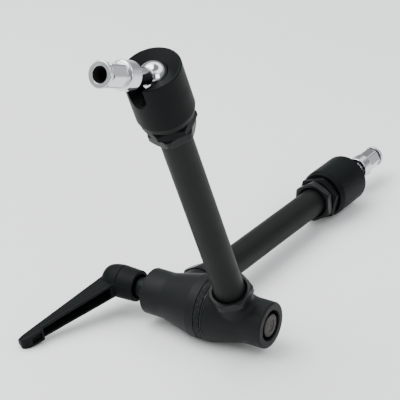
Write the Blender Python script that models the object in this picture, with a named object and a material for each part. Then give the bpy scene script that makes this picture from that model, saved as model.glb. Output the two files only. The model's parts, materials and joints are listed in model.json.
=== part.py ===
"""Articulated grip arm with a clamping elbow, two ball heads and one ratchet lever.

World axes: +X runs along the elbow's axis, from the lever to the bolt's head, and +Z is up.
The arm stands as it does when it is put down: on the elbow's rim, on the rear ball socket
and on the tip of the lever. Each arm has a frame of its own, with X outward along the
elbow's axis, Z along the tube and its origin on the elbow's axis.
"""

import bpy
import bmesh
from math import asin, cos, degrees, hypot, pi, radians, sin, sqrt, tan
from mathutils import Matrix, Vector

MM = 0.001

# Clearances
GAP = 0.3 * MM                 # between faces of neighbouring pieces
MERGE_DISTANCE = 0.0001 * MM   # between points that are one
OVERRUN = 2.0 * MM             # how far a cutter stands out of what it cuts
SEGMENTS = 36                  # sides of the large round pieces
NUT_SEGMENTS = 24              # points round a nut, four on each flat
SMALL_SEGMENTS = 20            # sides of the pieces that are hidden inside
BALL_SEGMENTS = 28
CHAMFER_STEPS = 2              # rings on the turned-off end of a hexagon
EDGE_STEPS = 3                 # rings on the rounded edge of a socket
MOUTH_STEPS = 5                # rings on the socket's ball seat
SLOT_STEPS = 14                # points round the bottom of a slot
BALL_STEPS = 12
SEAT_STEPS = 6                 # rings in the seat of a pressure pad
NOSE_STEPS = 6                 # rings on a push rod's nose
DOME_STEPS = 6                 # rings on the hub's dome
CROWN_STEPS = 3                # points on each half of the handle's back
TIP_STEPS = 3                  # sections of the handle's rounded tip
SHARP_ANGLE = radians(32.0)    # edges steeper than this stay sharp
HEXAGON_SHARP_ANGLE = radians(20.0)
SOCKET_SHARP_ANGLE = radians(25.0)

# Pose in which the arm is put down
FRONT_LEAN = radians(24.5)     # front tube from upright, towards -Y
LEVER_LEAN = radians(20.9)     # handle from square to the elbow's axis, outward
REAR_SWING = (radians(3.0), radians(-6.0))     # where the rear arm can come to rest
LEVER_SWING = (radians(-10.0), radians(40.0))  # where the lever can
SETTLE_STEPS = 24              # halvings of that swing

# Tubes and the spacing of the two arms
TUBE_RADIUS = 10.0 * MM
TUBE_WALL = 2.0 * MM
TUBE_SPACING = 43.66 * MM      # between the planes of the two tubes
TUBE_FOOT = 13.0 * MM          # seat of the tube in the housing, from the elbow's axis
TUBE_SEAT = 196.3 * MM         # seat of the tube's other end in the socket

# Elbow housings
RIM_RADIUS = 21.5 * MM
END_RADIUS = 15.6 * MM
ELBOW_LENGTH = 92.0 * MM
END_LENGTH = 15.0 * MM         # straight part at the outer end
REAR_RIM_LENGTH = 6.2 * MM     # straight rim on the lever side
FRONT_RIM_LENGTH = 0.6 * MM
REAR_FACE = 0.6 * MM           # rear housing's inner face, from the middle of the elbow
EDGE_CHAMFER = 0.8 * MM
LINE_CHAMFER = 0.5 * MM        # on the two edges that meet at the joint line
DISC_THICKNESS = 4.5 * MM
PLATE_THICKNESS = 1.2 * MM
DISC_INSET = 0.15 * MM         # disc and plate under the rim
BORE_RADIUS = 10.3 * MM        # holds the wedge, washer and bolt head
SPRING_BORE_RADIUS = 7.8 * MM
BOSS_RADIUS = 12.8 * MM
BOSS_INSET = 0.1 * MM          # end of the boss under the rim
ROD_HOLE_RADIUS = 4.4 * MM

# Tie bolt, washers, wedges and release spring
BOLT_RADIUS = 5.0 * MM
HEAD_RADIUS = 7.8 * MM
HEAD_THICKNESS = 8.3 * MM
HEAD_CHAMFER = 0.6 * MM
WASHER_THICKNESS = 1.7 * MM
WEDGE_START = 15.0 * MM        # thin end of the cone, from the middle of the elbow
WEDGE_END = 35.0 * MM
WEDGE_SMALL_RADIUS = 6.4 * MM
WEDGE_SLOPE = 0.3              # rise of the cone for its length
SPRING_WIRE = 1.2 * MM
SPRING_TURNS = 8
TURN_POINTS = 9                # points on each turn of a spring

# Push rods and pressure pads
ROD_RADIUS = 4.0 * MM
PAD_RADIUS = 9.5 * MM
PAD_LENGTH = 10.0 * MM
PAD_RISE = 6.7 * MM            # pad's foot above the tube's seat

# Hexagon jam nuts
NUT_FLATS = 27.0 * MM
NUT_CORNER_RADIUS = 15.2 * MM
NUT_THICKNESS = 5.9 * MM
NUT_FACE_INSET = 0.2 * MM      # round face inside the flats
NUT_COUNTERSINK = 1.5 * MM
HEXAGON_CHAMFER_ANGLE = radians(30.0)
NUT_CORNERS = {"front_elbow_nut": radians(30.0), "rear_elbow_nut": radians(30.0),
               "front_head_nut": radians(51.6), "rear_head_nut": radians(27.5)}

# Ball sockets; a rise is a height above the tube's seat, and a drop is one below it
CUP_RADIUS = 17.85 * MM
CUP_DROP = 3.2 * MM            # where the taper ends and the cup's wall starts
CUP_RISE = 29.1 * MM           # the cup's face
CUP_EDGE = 1.1 * MM            # rounding of the outer edge at the face
BAND_RADIUS = 16.5 * MM        # small end of the taper
BAND_DROP = 7.6 * MM
UNDERCUT_RADIUS = 13.2 * MM    # groove between taper and flange
FLANGE_FLATS = 29.0 * MM
FLANGE_CORNER_RADIUS = 16.75 * MM
FLANGE_TOP_DROP = 9.4 * MM
FLANGE_DROP = 15.2 * MM
HEAD_NUT_DROP = 16.0 * MM      # top of the nut under the flange
SPIGOT_RADIUS = 12.0 * MM
DISH_RADIUS = 16.7 * MM        # dished mouth at the face
MOUTH_RADIUS = 9.2 * MM
SLOT_WIDTH = 12.6 * MM
SLOT_RISE = 14.8 * MM          # bottom of the slot
SLOT_CHAMFER = 1.2 * MM
SLOT_TURN = radians(6.5)       # slot from square to the elbow's axis
FLANGE_CORNERS = {"front_socket": radians(36.0), "rear_socket": radians(42.0)}

# Balls and studs, measured from the ball's centre
BALL_RADIUS = 9.5 * MM
BALL_RISE = 22.9 * MM          # ball's centre above the tube's seat
NECK_RADIUS = 5.0 * MM
SPIGOT_LENGTH = 7.0 * MM       # of the neck inside the stud
NECK_SPIGOT_RADIUS = 4.0 * MM
COLLAR_RADIUS = 8.7 * MM
COLLAR_START = 23.0 * MM
COLLAR_END = 32.4 * MM
COLLAR_CHAMFER = 1.2 * MM
STUD_FLATS = 13.4 * MM
STUD_CORNER_RADIUS = 7.5 * MM
STUD_HEX_START = 33.6 * MM
STUD_HEX_END = 47.6 * MM
GROOVE_RADIUS = 6.1 * MM
RING_RADIUS = 8.0 * MM
RING_START = 49.2 * MM
STUD_LENGTH = 51.4 * MM
RING_CHAMFER = 0.5 * MM
STUD_BORE_RADIUS = 4.4 * MM
STUD_BORE_DEPTH = 14.0 * MM
STUD_COUNTERSINK = 0.8 * MM

# Direction of each stud as (X, Y, Z) of its arm's frame
STUD_DIRECTIONS = {"front": (-0.050, -0.7096, 0.703), "rear": (-0.0190, 0.0279, 0.9994)}

# Lever: places are distances from the middle of the elbow, outward on the lever's side
HUB_START = 55.6 * MM
HUB_SEAM = 69.0 * MM           # where the hub's wall turns into its dome
HUB_END = 82.0 * MM
HUB_RADIUS = 10.7 * MM         # at the mouth
HUB_SEAM_RADIUS = 11.3 * MM
HUB_DOME_RADIUS = 6.6 * MM     # flat top of the dome
HUB_BORE_RADIUS = 8.6 * MM
TOOTH_START = 60.5 * MM
TOOTH_LENGTH = 3.5 * MM
TOOTH_COUNT = 18
TOOTH_POINTS = 4               # points round each tooth
TOOTH_RADIUS = 7.5 * MM        # middle of the teeth on the insert
TOOTH_DEPTH = 0.6 * MM
TOOTH_GAP = 0.4 * MM
INSERT_NECK_RADIUS = 6.9 * MM
INSERT_FLANGE_RADIUS = 10.0 * MM
INSERT_FLANGE_END = 45.4 * MM
INSERT_WEB = 3.0 * MM          # solid end of the insert that the screw goes into
HUB_WEB = 2.0 * MM             # floor between the teeth and the spring
SCREW_RADIUS = 2.0 * MM
SCREW_HEAD_RADIUS = 4.6 * MM
SCREW_HEAD_THICKNESS = 3.0 * MM
SCREW_INSET = 3.0 * MM         # top of the screw's head under the dome
SCREW_SOCKET_FLATS = 4.0 * MM
SCREW_SOCKET_DEPTH = 2.0 * MM
HUB_POCKET_RADIUS = 5.2 * MM
HANDLE_SPRING_WIRE = 0.8 * MM
HANDLE_SPRING_TURNS = 5
HANDLE_ROOT = 65.3 * MM        # where the handle's underside meets the hub's axis
HANDLE_LENGTH = 86.1 * MM      # from the hub's axis to the tip
HANDLE_WIDTH_ROOT = 11.3 * MM
HANDLE_WIDTH_TIP = 8.4 * MM
HANDLE_HEIGHT_ROOT = 16.5 * MM
HANDLE_HEIGHT_TIP = 5.0 * MM
HANDLE_CROWN = 1.0 * MM        # height of the rounded back
HANDLE_DRAFT = 1.0 * MM        # back narrower than the underside, each side
HANDLE_LIP = 1.4 * MM          # straight lip along the underside
HANDLE_WALL = 1.5 * MM         # beside the channel
CHANNEL_FLOOR = 2.6 * MM       # behind the channel
CHANNEL_START = 14.2 * MM
CHANNEL_DRAFT = 0.7 * MM       # floor narrower than the mouth, each side
CHANNEL_WALL = 0.6 * MM        # between the channel and the tip block's step
TIP_BLOCK_START = 69.0 * MM
TIP_STEP_LENGTH = 0.7 * MM     # slope of the block's step
TIP_STEP_DROP = 2.3 * MM       # below the underside, after the step
TIP_BLOCK_DROP = 2.6 * MM      # and where the tip starts to curve
TIP_BLOCK_END = 78.4 * MM
TIP_RISE = 0.8 * MM            # end of the tip above the underside
TIP_SIDE_DRAW = 1.0 * MM       # how far each side and the back draw in at the tip
TIP_BACK_DRAW = 0.5 * MM
TIP_POCKET_DEPTH = 3.0 * MM
TIP_POCKET_WALL = 1.4 * MM
TIP_POCKET_END = 79.0 * MM

# Sizes that follow from those above
TUBE_OFFSET = TUBE_SPACING / 2
TUBE_BORE_RADIUS = TUBE_RADIUS - TUBE_WALL
TUBE_HOLE_RADIUS = TUBE_RADIUS + GAP
ELBOW_END = ELBOW_LENGTH / 2
BOSS_TOP = RIM_RADIUS - BOSS_INSET
DISC_START = -REAR_FACE + GAP
DISC_END = DISC_START + DISC_THICKNESS
PLATE_START = DISC_END + GAP
PLATE_END = PLATE_START + PLATE_THICKNESS
FRONT_FACE = PLATE_END + GAP
WASHER_START = WEDGE_END + GAP
WASHER_END = WASHER_START + WASHER_THICKNESS
HEAD_START = WASHER_END + GAP
HEAD_END = HEAD_START + HEAD_THICKNESS
ELBOW_NUT_BOTTOM = BOSS_TOP + GAP
HEAD_NUT_TOP = TUBE_SEAT - HEAD_NUT_DROP
HEAD_NUT_BOTTOM = HEAD_NUT_TOP - NUT_THICKNESS
SOCKET_BOTTOM = HEAD_NUT_TOP + GAP
FLANGE_BOTTOM = TUBE_SEAT - FLANGE_DROP
FLANGE_TOP = TUBE_SEAT - FLANGE_TOP_DROP
BAND_BOTTOM = TUBE_SEAT - BAND_DROP
CUP_BOTTOM = TUBE_SEAT - CUP_DROP
CUP_FACE = TUBE_SEAT + CUP_RISE
SLOT_BOTTOM = TUBE_SEAT + SLOT_RISE
BALL_CENTRE = TUBE_SEAT + BALL_RISE
PAD_BOTTOM = TUBE_SEAT + PAD_RISE
PAD_TOP = PAD_BOTTOM + PAD_LENGTH
BALL_BORE_RADIUS = BALL_RADIUS + GAP
TOOTH_END = TOOTH_START + TOOTH_LENGTH
POCKET_FLOOR = TOOTH_END + GAP + HUB_WEB
SCREW_TOP = HUB_END - SCREW_INSET
SCREW_HEAD_START = SCREW_TOP - SCREW_HEAD_THICKNESS
BOLT_END = TOOTH_END - INSERT_WEB - 2 * GAP

BLACK = (0.020, 0.024, 0.024)
TUBE_GREY = (0.045, 0.052, 0.052)
CHROME = (0.80, 0.82, 0.84)
STEEL = (0.42, 0.42, 0.43)
DARK_STEEL = (0.10, 0.095, 0.09)
FRICTION = (0.030, 0.036, 0.034)
PAD_BLACK = (0.015, 0.015, 0.015)

# Colour, roughness and metallic value of each finish
CASTING_LOOK = (BLACK, 0.42, 0.0)
NUT_LOOK = (BLACK, 0.40, 0.0)
HANDLE_LOOK = (BLACK, 0.38, 0.0)
PLATE_LOOK = (BLACK, 0.35, 0.5)
TUBE_LOOK = (TUBE_GREY, 0.38, 0.3)
FRICTION_LOOK = (FRICTION, 0.75, 0.0)
CHROME_LOOK = (CHROME, 0.10, 1.0)
STEEL_LOOK = (STEEL, 0.32, 1.0)
DARK_STEEL_LOOK = (DARK_STEEL, 0.42, 0.9)
PAD_LOOK = (PAD_BLACK, 0.6, 0.0)


def clear_scene():
    """Remove whatever the open file holds."""
    for thing in list(bpy.data.objects):
        bpy.data.objects.remove(thing, do_unlink=True)


def material(name, colour, roughness, metallic):
    """Make a Principled material for one piece."""
    made = bpy.data.materials.new(name)
    made.use_nodes = True
    shader = made.node_tree.nodes["Principled BSDF"]
    shader.inputs["Base Color"].default_value = (*colour, 1.0)
    shader.inputs["Roughness"].default_value = roughness
    shader.inputs["Metallic"].default_value = metallic
    return made


def frame(name, parent, location, x_axis, z_axis):
    """Add an empty whose X and Z point along two directions of its parent."""
    empty = bpy.data.objects.new(name, None)
    bpy.context.collection.objects.link(empty)
    z_axis = Vector(z_axis).normalized()
    y_axis = z_axis.cross(Vector(x_axis)).normalized()
    x_axis = y_axis.cross(z_axis)
    empty.parent = parent
    empty.location = location
    empty.rotation_euler = Matrix((x_axis, y_axis, z_axis)).transposed().to_euler()
    return empty


def finished(name, bm, parent, look=None, sharp_angle=SHARP_ANGLE):
    """Turn a bmesh into an object under its frame; without a look it is a cutter."""
    bmesh.ops.remove_doubles(bm, verts=bm.verts, dist=MERGE_DISTANCE)
    bmesh.ops.recalc_face_normals(bm, faces=bm.faces)
    if bm.calc_volume(signed=True) < 0:
        bmesh.ops.reverse_faces(bm, faces=bm.faces)
    mesh = bpy.data.meshes.new(name)
    bm.to_mesh(mesh)
    bm.free()
    piece = bpy.data.objects.new(name, mesh)
    bpy.context.collection.objects.link(piece)
    piece.parent = parent
    if look is None:
        piece.hide_render = True
        piece.display_type = "WIRE"
        return piece
    mesh.materials.append(material(name, *look))
    mesh.shade_smooth()
    mesh.set_sharp_from_angle(angle=sharp_angle)
    return piece


def turned_mesh(profile, along="Z", segments=SEGMENTS, twist=0.0):
    """Spin an outline of (radius, place) points; one that starts on the axis is left open."""
    bm = bmesh.new()
    corners = [bm.verts.new((radius * cos(twist), radius * sin(twist), place))
               for radius, place in profile]
    edges = [bm.edges.new(pair) for pair in zip(corners, corners[1:])]
    if max(profile[0][0], profile[-1][0]) > GAP:
        edges.append(bm.edges.new((corners[-1], corners[0])))
    bmesh.ops.spin(bm, geom=corners + edges, cent=(0, 0, 0), axis=(0, 0, 1), dvec=(0, 0, 0),
                   angle=2 * pi, steps=segments, use_merge=True, use_duplicate=False)
    if along == "X":
        bmesh.ops.rotate(bm, verts=bm.verts, cent=(0, 0, 0),
                         matrix=Matrix.Rotation(pi / 2, 3, "Y"))
    return bm


def turned(name, profile, parent, look=None, along="Z", segments=SEGMENTS, twist=0.0):
    """Turned piece, or cutter, under its frame."""
    return finished(name, turned_mesh(profile, along, segments, twist), parent, look)


def skinned_mesh(rings, closed=False):
    """Join rings of equally many points; closed joins the last ring to the first."""
    bm = bmesh.new()
    loops = [[bm.verts.new(point) for point in ring] for ring in rings]
    pairs = list(zip(loops, loops[1:]))
    if closed:
        pairs.append((loops[-1], loops[0]))
    else:
        bm.faces.new(loops[0])
        bm.faces.new(loops[-1])
    for lower, upper in pairs:
        for i in range(len(lower)):
            j = (i + 1) % len(lower)
            bm.faces.new((lower[i], lower[j], upper[j], upper[i]))
    bmesh.ops.triangulate(bm, faces=bm.faces)
    return bm


def section(place, radius, flats=None, corner=0.0, segments=SEGMENTS):
    """Ring at one height: a circle, or a hexagon whose corners a circle trims."""
    ring = []
    for i in range(segments):
        angle = corner + 2 * pi * i / segments
        reach = radius
        if flats is not None:
            from_flat = (2 * pi * i / segments) % (pi / 3) - pi / 6
            reach = min(radius, flats / 2 / cos(from_flat))
        ring.append((reach * cos(angle), reach * sin(angle), place))
    return ring


def hexagon_rings(low, high, flats, corner_radius, corner, inset, segments=SEGMENTS):
    """Rings of a hexagon bar whose ends are turned off at thirty degrees."""
    face_radius = flats / 2 - inset
    depth = (corner_radius - face_radius) * tan(HEXAGON_CHAMFER_ANGLE)
    lower = []
    upper = []
    for i in range(CHAMFER_STEPS + 1):
        share = i / CHAMFER_STEPS
        radius = face_radius + (corner_radius - face_radius) * share
        lower.append(section(low + depth * share, radius, flats, corner, segments))
        upper.append(section(high - depth * share, radius, flats, corner, segments))
    return lower + upper[::-1]


def arc(centre, radius, start, end, steps):
    """Points (radius, place) of a circle about a point on the axis; angles from the axis."""
    points = []
    for i in range(steps + 1):
        angle = start + (end - start) * i / steps
        points.append((radius * sin(angle), centre + radius * cos(angle)))
    return points


def boolean(target, tool, operation="DIFFERENCE", solver="EXACT"):
    """Cut a piece with a tool, or join the tool to it."""
    step = target.modifiers.new(tool.name, "BOOLEAN")
    step.operation = operation
    step.solver = solver
    step.object = tool


def world_points(piece):
    """Corners of a piece as its modifiers leave it."""
    bpy.context.view_layer.update()
    ready = piece.evaluated_get(bpy.context.evaluated_depsgraph_get())
    return [ready.matrix_world @ vertex.co for vertex in ready.data.vertices]


def lowest(pieces):
    return min(point.z for piece in pieces for point in world_points(piece))


def helix(name, parent, radius, wire, start, end, turns, look):
    """Wind a compression spring along the frame's X, as one unbroken wire."""
    curve = bpy.data.curves.new(name, "CURVE")
    curve.dimensions = "3D"
    curve.bevel_depth = wire / 2
    curve.bevel_resolution = 1
    curve.use_fill_caps = True
    line = curve.splines.new("POLY")
    count = turns * TURN_POINTS + 1
    line.points.add(count - 1)
    first = start + wire / 2
    pitch = (end - start - wire) / turns
    for i in range(count):
        angle = 2 * pi * i / TURN_POINTS
        place = first + pitch * i / TURN_POINTS
        line.points[i].co = (place, radius * cos(angle), radius * sin(angle), 1.0)
    curve.materials.append(material(name, *look))
    spring = bpy.data.objects.new(name, curve)
    bpy.context.collection.objects.link(spring)
    spring.parent = parent
    print(name, "least gap between turns, mm:", round((pitch - wire) / MM, 2))
    return spring


def housing(side, parent, inner_face, rim_length):
    """Elbow half: a turned body with a boss for the tube and a stepped bore."""
    name = side + "_housing"
    inner = inner_face - TUBE_OFFSET
    outer = ELBOW_END - TUBE_OFFSET
    straight = outer - END_LENGTH
    body = turned(name, [
        (0, inner), (RIM_RADIUS - LINE_CHAMFER, inner), (RIM_RADIUS, inner + LINE_CHAMFER),
        (RIM_RADIUS, inner + rim_length), (END_RADIUS, straight),
        (END_RADIUS, outer - EDGE_CHAMFER), (END_RADIUS - EDGE_CHAMFER, outer), (0, outer)],
        parent, CASTING_LOOK, "X")
    half_side = pi / SEGMENTS
    boss = turned(name + "_boss", [(0, 0), (BOSS_RADIUS, 0), (BOSS_RADIUS, BOSS_TOP),
                                   (0, BOSS_TOP)], parent, twist=half_side)
    boolean(body, boss, "UNION")
    step = WEDGE_START - TUBE_OFFSET - OVERRUN
    bore = turned(name + "_bore", [
        (0, inner - OVERRUN), (SPRING_BORE_RADIUS, inner - OVERRUN),
        (SPRING_BORE_RADIUS, step), (BORE_RADIUS, step), (BORE_RADIUS, outer + OVERRUN),
        (0, outer + OVERRUN)], parent, None, "X")
    boolean(body, bore)
    seat = turned(name + "_tube_seat", [
        (0, 0), (ROD_HOLE_RADIUS, 0), (ROD_HOLE_RADIUS, TUBE_FOOT),
        (TUBE_HOLE_RADIUS, TUBE_FOOT), (TUBE_HOLE_RADIUS, BOSS_TOP + OVERRUN),
        (0, BOSS_TOP + OVERRUN)], parent, twist=half_side)
    boolean(body, seat)
    return body


def washer(name, parent, radius, bore, start, end, look, segments=SEGMENTS):
    """Flat ring round the elbow's axis."""
    return turned(name, [(bore, start), (radius, start), (radius, end), (bore, end)],
                  parent, look, "X", segments)


def wedge(name, parent):
    """Cone on the tie bolt; its slope pushes the rod when the bolt is drawn tight."""
    start = WEDGE_START - TUBE_OFFSET
    end = WEDGE_END - TUBE_OFFSET
    bore = BOLT_RADIUS + GAP
    top = BORE_RADIUS - GAP
    cone_end = start + (top - WEDGE_SMALL_RADIUS) / WEDGE_SLOPE
    return turned(name, [(bore, start), (WEDGE_SMALL_RADIUS, start), (top, cone_end),
                         (top, end), (bore, end)],
                  parent, STEEL_LOOK, "X", SMALL_SEGMENTS)


def push_rod(name, parent):
    """Rod inside the tube: a round nose on the wedge, a flat end under the pad."""
    wedge_radius = WEDGE_SMALL_RADIUS + WEDGE_SLOPE * (TUBE_OFFSET - WEDGE_START)
    nose = wedge_radius + (ROD_RADIUS + GAP) * hypot(1.0, WEDGE_SLOPE)
    dome = arc(nose, ROD_RADIUS, pi, pi / 2, NOSE_STEPS)
    return turned(name, dome + [(ROD_RADIUS, PAD_BOTTOM - GAP), (0, PAD_BOTTOM - GAP)],
                  parent, STEEL_LOOK, "Z", SMALL_SEGMENTS)


def tube(name, parent):
    """Straight tube screwed into the boss and into the socket."""
    low = TUBE_FOOT + GAP
    high = TUBE_SEAT - GAP
    return turned(name, [(TUBE_BORE_RADIUS, low), (TUBE_RADIUS, low), (TUBE_RADIUS, high),
                         (TUBE_BORE_RADIUS, high)], parent, TUBE_LOOK)


def jam_nut(name, parent, bottom):
    """Hexagon nut round the tube, countersunk where the tube leaves it."""
    top = bottom + NUT_THICKNESS
    corner = NUT_CORNERS[name]
    rings = hexagon_rings(bottom, top, NUT_FLATS, NUT_CORNER_RADIUS, corner, NUT_FACE_INSET,
                          NUT_SEGMENTS)
    hole = TUBE_HOLE_RADIUS
    for place, radius in ((top, hole + NUT_COUNTERSINK), (top - NUT_COUNTERSINK, hole),
                          (bottom + NUT_COUNTERSINK, hole), (bottom, hole + NUT_COUNTERSINK)):
        rings.append(section(place, radius, None, corner, NUT_SEGMENTS))
    return finished(name, skinned_mesh(rings, closed=True), parent, NUT_LOOK,
                    HEXAGON_SHARP_ANGLE)


def slot_outline(grow, reach):
    """Upright slot with a round bottom, grown all round, at a reach from the tube's axis."""
    half = SLOT_WIDTH / 2
    centre = SLOT_BOTTOM + half
    flat = [(half + grow, CUP_FACE + OVERRUN), (-half - grow, CUP_FACE + OVERRUN)]
    for i in range(SLOT_STEPS + 1):
        angle = pi + pi * i / SLOT_STEPS
        flat.append(((half + grow) * cos(angle), centre + (half + grow) * sin(angle)))
    direction = Vector((-sin(SLOT_TURN), -cos(SLOT_TURN), 0))
    across = Vector((cos(SLOT_TURN), -sin(SLOT_TURN), 0))
    return [direction * reach + across * x + Vector((0, 0, z)) for x, z in flat]


def socket(name, parent):
    """Cup that traps the ball, with a slot, a taper, an undercut and a hexagon flange."""
    corner = FLANGE_CORNERS[name]
    hole = TUBE_HOLE_RADIUS
    flange = hexagon_rings(FLANGE_BOTTOM, FLANGE_TOP, FLANGE_FLATS, FLANGE_CORNER_RADIUS,
                           corner, NUT_FACE_INSET)
    mouth_angle = asin(MOUTH_RADIUS / BALL_BORE_RADIUS)
    mouth_place = BALL_CENTRE + BALL_BORE_RADIUS * cos(mouth_angle)
    edge_centre = CUP_FACE - CUP_EDGE
    outline = [(FLANGE_TOP, UNDERCUT_RADIUS), (BAND_BOTTOM, UNDERCUT_RADIUS),
               (BAND_BOTTOM, BAND_RADIUS), (CUP_BOTTOM, CUP_RADIUS)]
    for i in range(EDGE_STEPS + 1):
        angle = pi / 2 * i / EDGE_STEPS
        outline.append((edge_centre + CUP_EDGE * sin(angle),
                        CUP_RADIUS - CUP_EDGE + CUP_EDGE * cos(angle)))
    outline += [(CUP_FACE, DISH_RADIUS), (mouth_place, MOUTH_RADIUS)]
    for i in range(1, MOUTH_STEPS + 1):
        angle = mouth_angle + (pi / 2 - mouth_angle) * i / MOUTH_STEPS
        outline.append((BALL_CENTRE + BALL_BORE_RADIUS * cos(angle),
                        BALL_BORE_RADIUS * sin(angle)))
    outline += [(TUBE_SEAT, BALL_BORE_RADIUS), (TUBE_SEAT, hole), (SOCKET_BOTTOM, hole)]
    rings = [section(SOCKET_BOTTOM, SPIGOT_RADIUS, None, corner),
             section(FLANGE_BOTTOM, SPIGOT_RADIUS, None, corner)] + flange
    rings += [section(place, radius, None, corner) for place, radius in outline]
    body = finished(name, skinned_mesh(rings, closed=True), parent, CASTING_LOOK,
                    SOCKET_SHARP_ANGLE)
    slot = skinned_mesh([slot_outline(0.0, reach) for reach in (0.0, CUP_RADIUS + OVERRUN)])
    boolean(body, finished(name + "_slot", slot, parent))
    flare = skinned_mesh([slot_outline(0.0, CUP_RADIUS - SLOT_CHAMFER),
                          slot_outline(SLOT_CHAMFER + OVERRUN, CUP_RADIUS + OVERRUN)])
    boolean(body, finished(name + "_slot_chamfer", flare, parent))
    return body


def pressure_pad(name, parent):
    """Pad between rod and ball, hollowed to the ball's shape."""
    half_width = sqrt(BALL_BORE_RADIUS ** 2 - (BALL_CENTRE - PAD_TOP) ** 2)
    rim_angle = pi - asin(half_width / BALL_BORE_RADIUS)
    seat = arc(BALL_CENTRE, BALL_BORE_RADIUS, rim_angle, pi, SEAT_STEPS)
    return turned(name, [(0, PAD_BOTTOM), (PAD_RADIUS, PAD_BOTTOM), (PAD_RADIUS, PAD_TOP)]
                  + seat, parent, PAD_LOOK, "Z", SMALL_SEGMENTS)


def ball(name, parent):
    """Ball with its neck and the spigot that the stud is screwed on."""
    neck_angle = asin(NECK_RADIUS / BALL_RADIUS)
    sphere = arc(0, BALL_RADIUS, pi, neck_angle, BALL_STEPS)
    shoulder = COLLAR_START - GAP
    tip = shoulder + SPIGOT_LENGTH
    return turned(name, sphere + [(NECK_RADIUS, shoulder), (NECK_SPIGOT_RADIUS, shoulder),
                                  (NECK_SPIGOT_RADIUS, tip), (0, tip)],
                  parent, CHROME_LOOK, "Z", BALL_SEGMENTS)


def stud(name, parent):
    """Chromed stud: collar, hexagon for a spanner, groove and end ring with a bore."""
    hole = NECK_SPIGOT_RADIUS + GAP
    blind = COLLAR_START + SPIGOT_LENGTH + GAP
    bore_floor = STUD_LENGTH - STUD_BORE_DEPTH
    start = COLLAR_START
    collar = [(start, COLLAR_RADIUS - COLLAR_CHAMFER / 2),
              (start + COLLAR_CHAMFER / 2, COLLAR_RADIUS),
              (COLLAR_END - COLLAR_CHAMFER, COLLAR_RADIUS),
              (COLLAR_END, COLLAR_RADIUS - COLLAR_CHAMFER),
              (STUD_HEX_START, GROOVE_RADIUS)]
    ring = [(STUD_HEX_END, GROOVE_RADIUS), (RING_START, GROOVE_RADIUS),
            (RING_START, RING_RADIUS - RING_CHAMFER), (RING_START + RING_CHAMFER, RING_RADIUS),
            (STUD_LENGTH - RING_CHAMFER, RING_RADIUS),
            (STUD_LENGTH, RING_RADIUS - RING_CHAMFER)]
    rings = [section(place, radius, segments=NUT_SEGMENTS) for place, radius in collar]
    rings += hexagon_rings(STUD_HEX_START, STUD_HEX_END, STUD_FLATS, STUD_CORNER_RADIUS, 0.0,
                           NUT_FACE_INSET, NUT_SEGMENTS)
    rings += [section(place, radius, segments=NUT_SEGMENTS) for place, radius in ring]
    body = finished(name, skinned_mesh(rings), parent, CHROME_LOOK, HEXAGON_SHARP_ANGLE)
    front = turned(name + "_bore", [
        (0, bore_floor), (STUD_BORE_RADIUS, bore_floor),
        (STUD_BORE_RADIUS, STUD_LENGTH - STUD_COUNTERSINK),
        (STUD_BORE_RADIUS + STUD_COUNTERSINK, STUD_LENGTH),
        (STUD_BORE_RADIUS + STUD_COUNTERSINK, STUD_LENGTH + OVERRUN),
        (0, STUD_LENGTH + OVERRUN)], parent, None, "Z", SMALL_SEGMENTS)
    boolean(body, front)
    back = turned(name + "_socket", [(0, start - OVERRUN), (hole, start - OVERRUN),
                                     (hole, blind), (0, blind)],
                  parent, None, "Z", SMALL_SEGMENTS)
    boolean(body, back)
    return body


def tooth_ring(place, grow):
    """Ring of rounded teeth on the insert, or the matching one inside the hub."""
    points = TOOTH_COUNT * TOOTH_POINTS
    ring = []
    for i in range(points):
        angle = 2 * pi * i / points
        reach = TOOTH_RADIUS + grow + TOOTH_DEPTH / 2 * cos(TOOTH_COUNT * angle)
        ring.append((place, reach * cos(angle), reach * sin(angle)))
    return ring


def lever_insert(parent):
    """Steel insert: flange in the housing, neck, and teeth inside the hub."""
    flange_start = WASHER_END + GAP - HANDLE_ROOT
    flange_end = INSERT_FLANGE_END - HANDLE_ROOT
    teeth_start = TOOTH_START - HANDLE_ROOT
    teeth_end = TOOTH_END - HANDLE_ROOT
    body = turned("lever_insert", [
        (0, flange_start), (INSERT_FLANGE_RADIUS, flange_start),
        (INSERT_FLANGE_RADIUS, flange_end), (INSERT_NECK_RADIUS, flange_end),
        (INSERT_NECK_RADIUS, teeth_start + GAP), (0, teeth_start + GAP)],
        parent, STEEL_LOOK, "X")
    teeth = skinned_mesh([tooth_ring(place, 0.0) for place in (teeth_start, teeth_end)])
    boolean(body, finished("lever_insert_teeth", teeth, parent), "UNION")
    bolt_hole = turned("lever_insert_bolt_hole", [
        (0, flange_start - OVERRUN), (BOLT_RADIUS + GAP, flange_start - OVERRUN),
        (BOLT_RADIUS + GAP, teeth_end - INSERT_WEB), (0, teeth_end - INSERT_WEB)],
        parent, None, "X", SMALL_SEGMENTS)
    boolean(body, bolt_hole)
    screw_hole = turned("lever_insert_screw_hole", [
        (0, teeth_start), (SCREW_RADIUS + GAP, teeth_start),
        (SCREW_RADIUS + GAP, teeth_end + OVERRUN), (0, teeth_end + OVERRUN)],
        parent, None, "X", SMALL_SEGMENTS)
    boolean(body, screw_hole)
    return body


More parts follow.
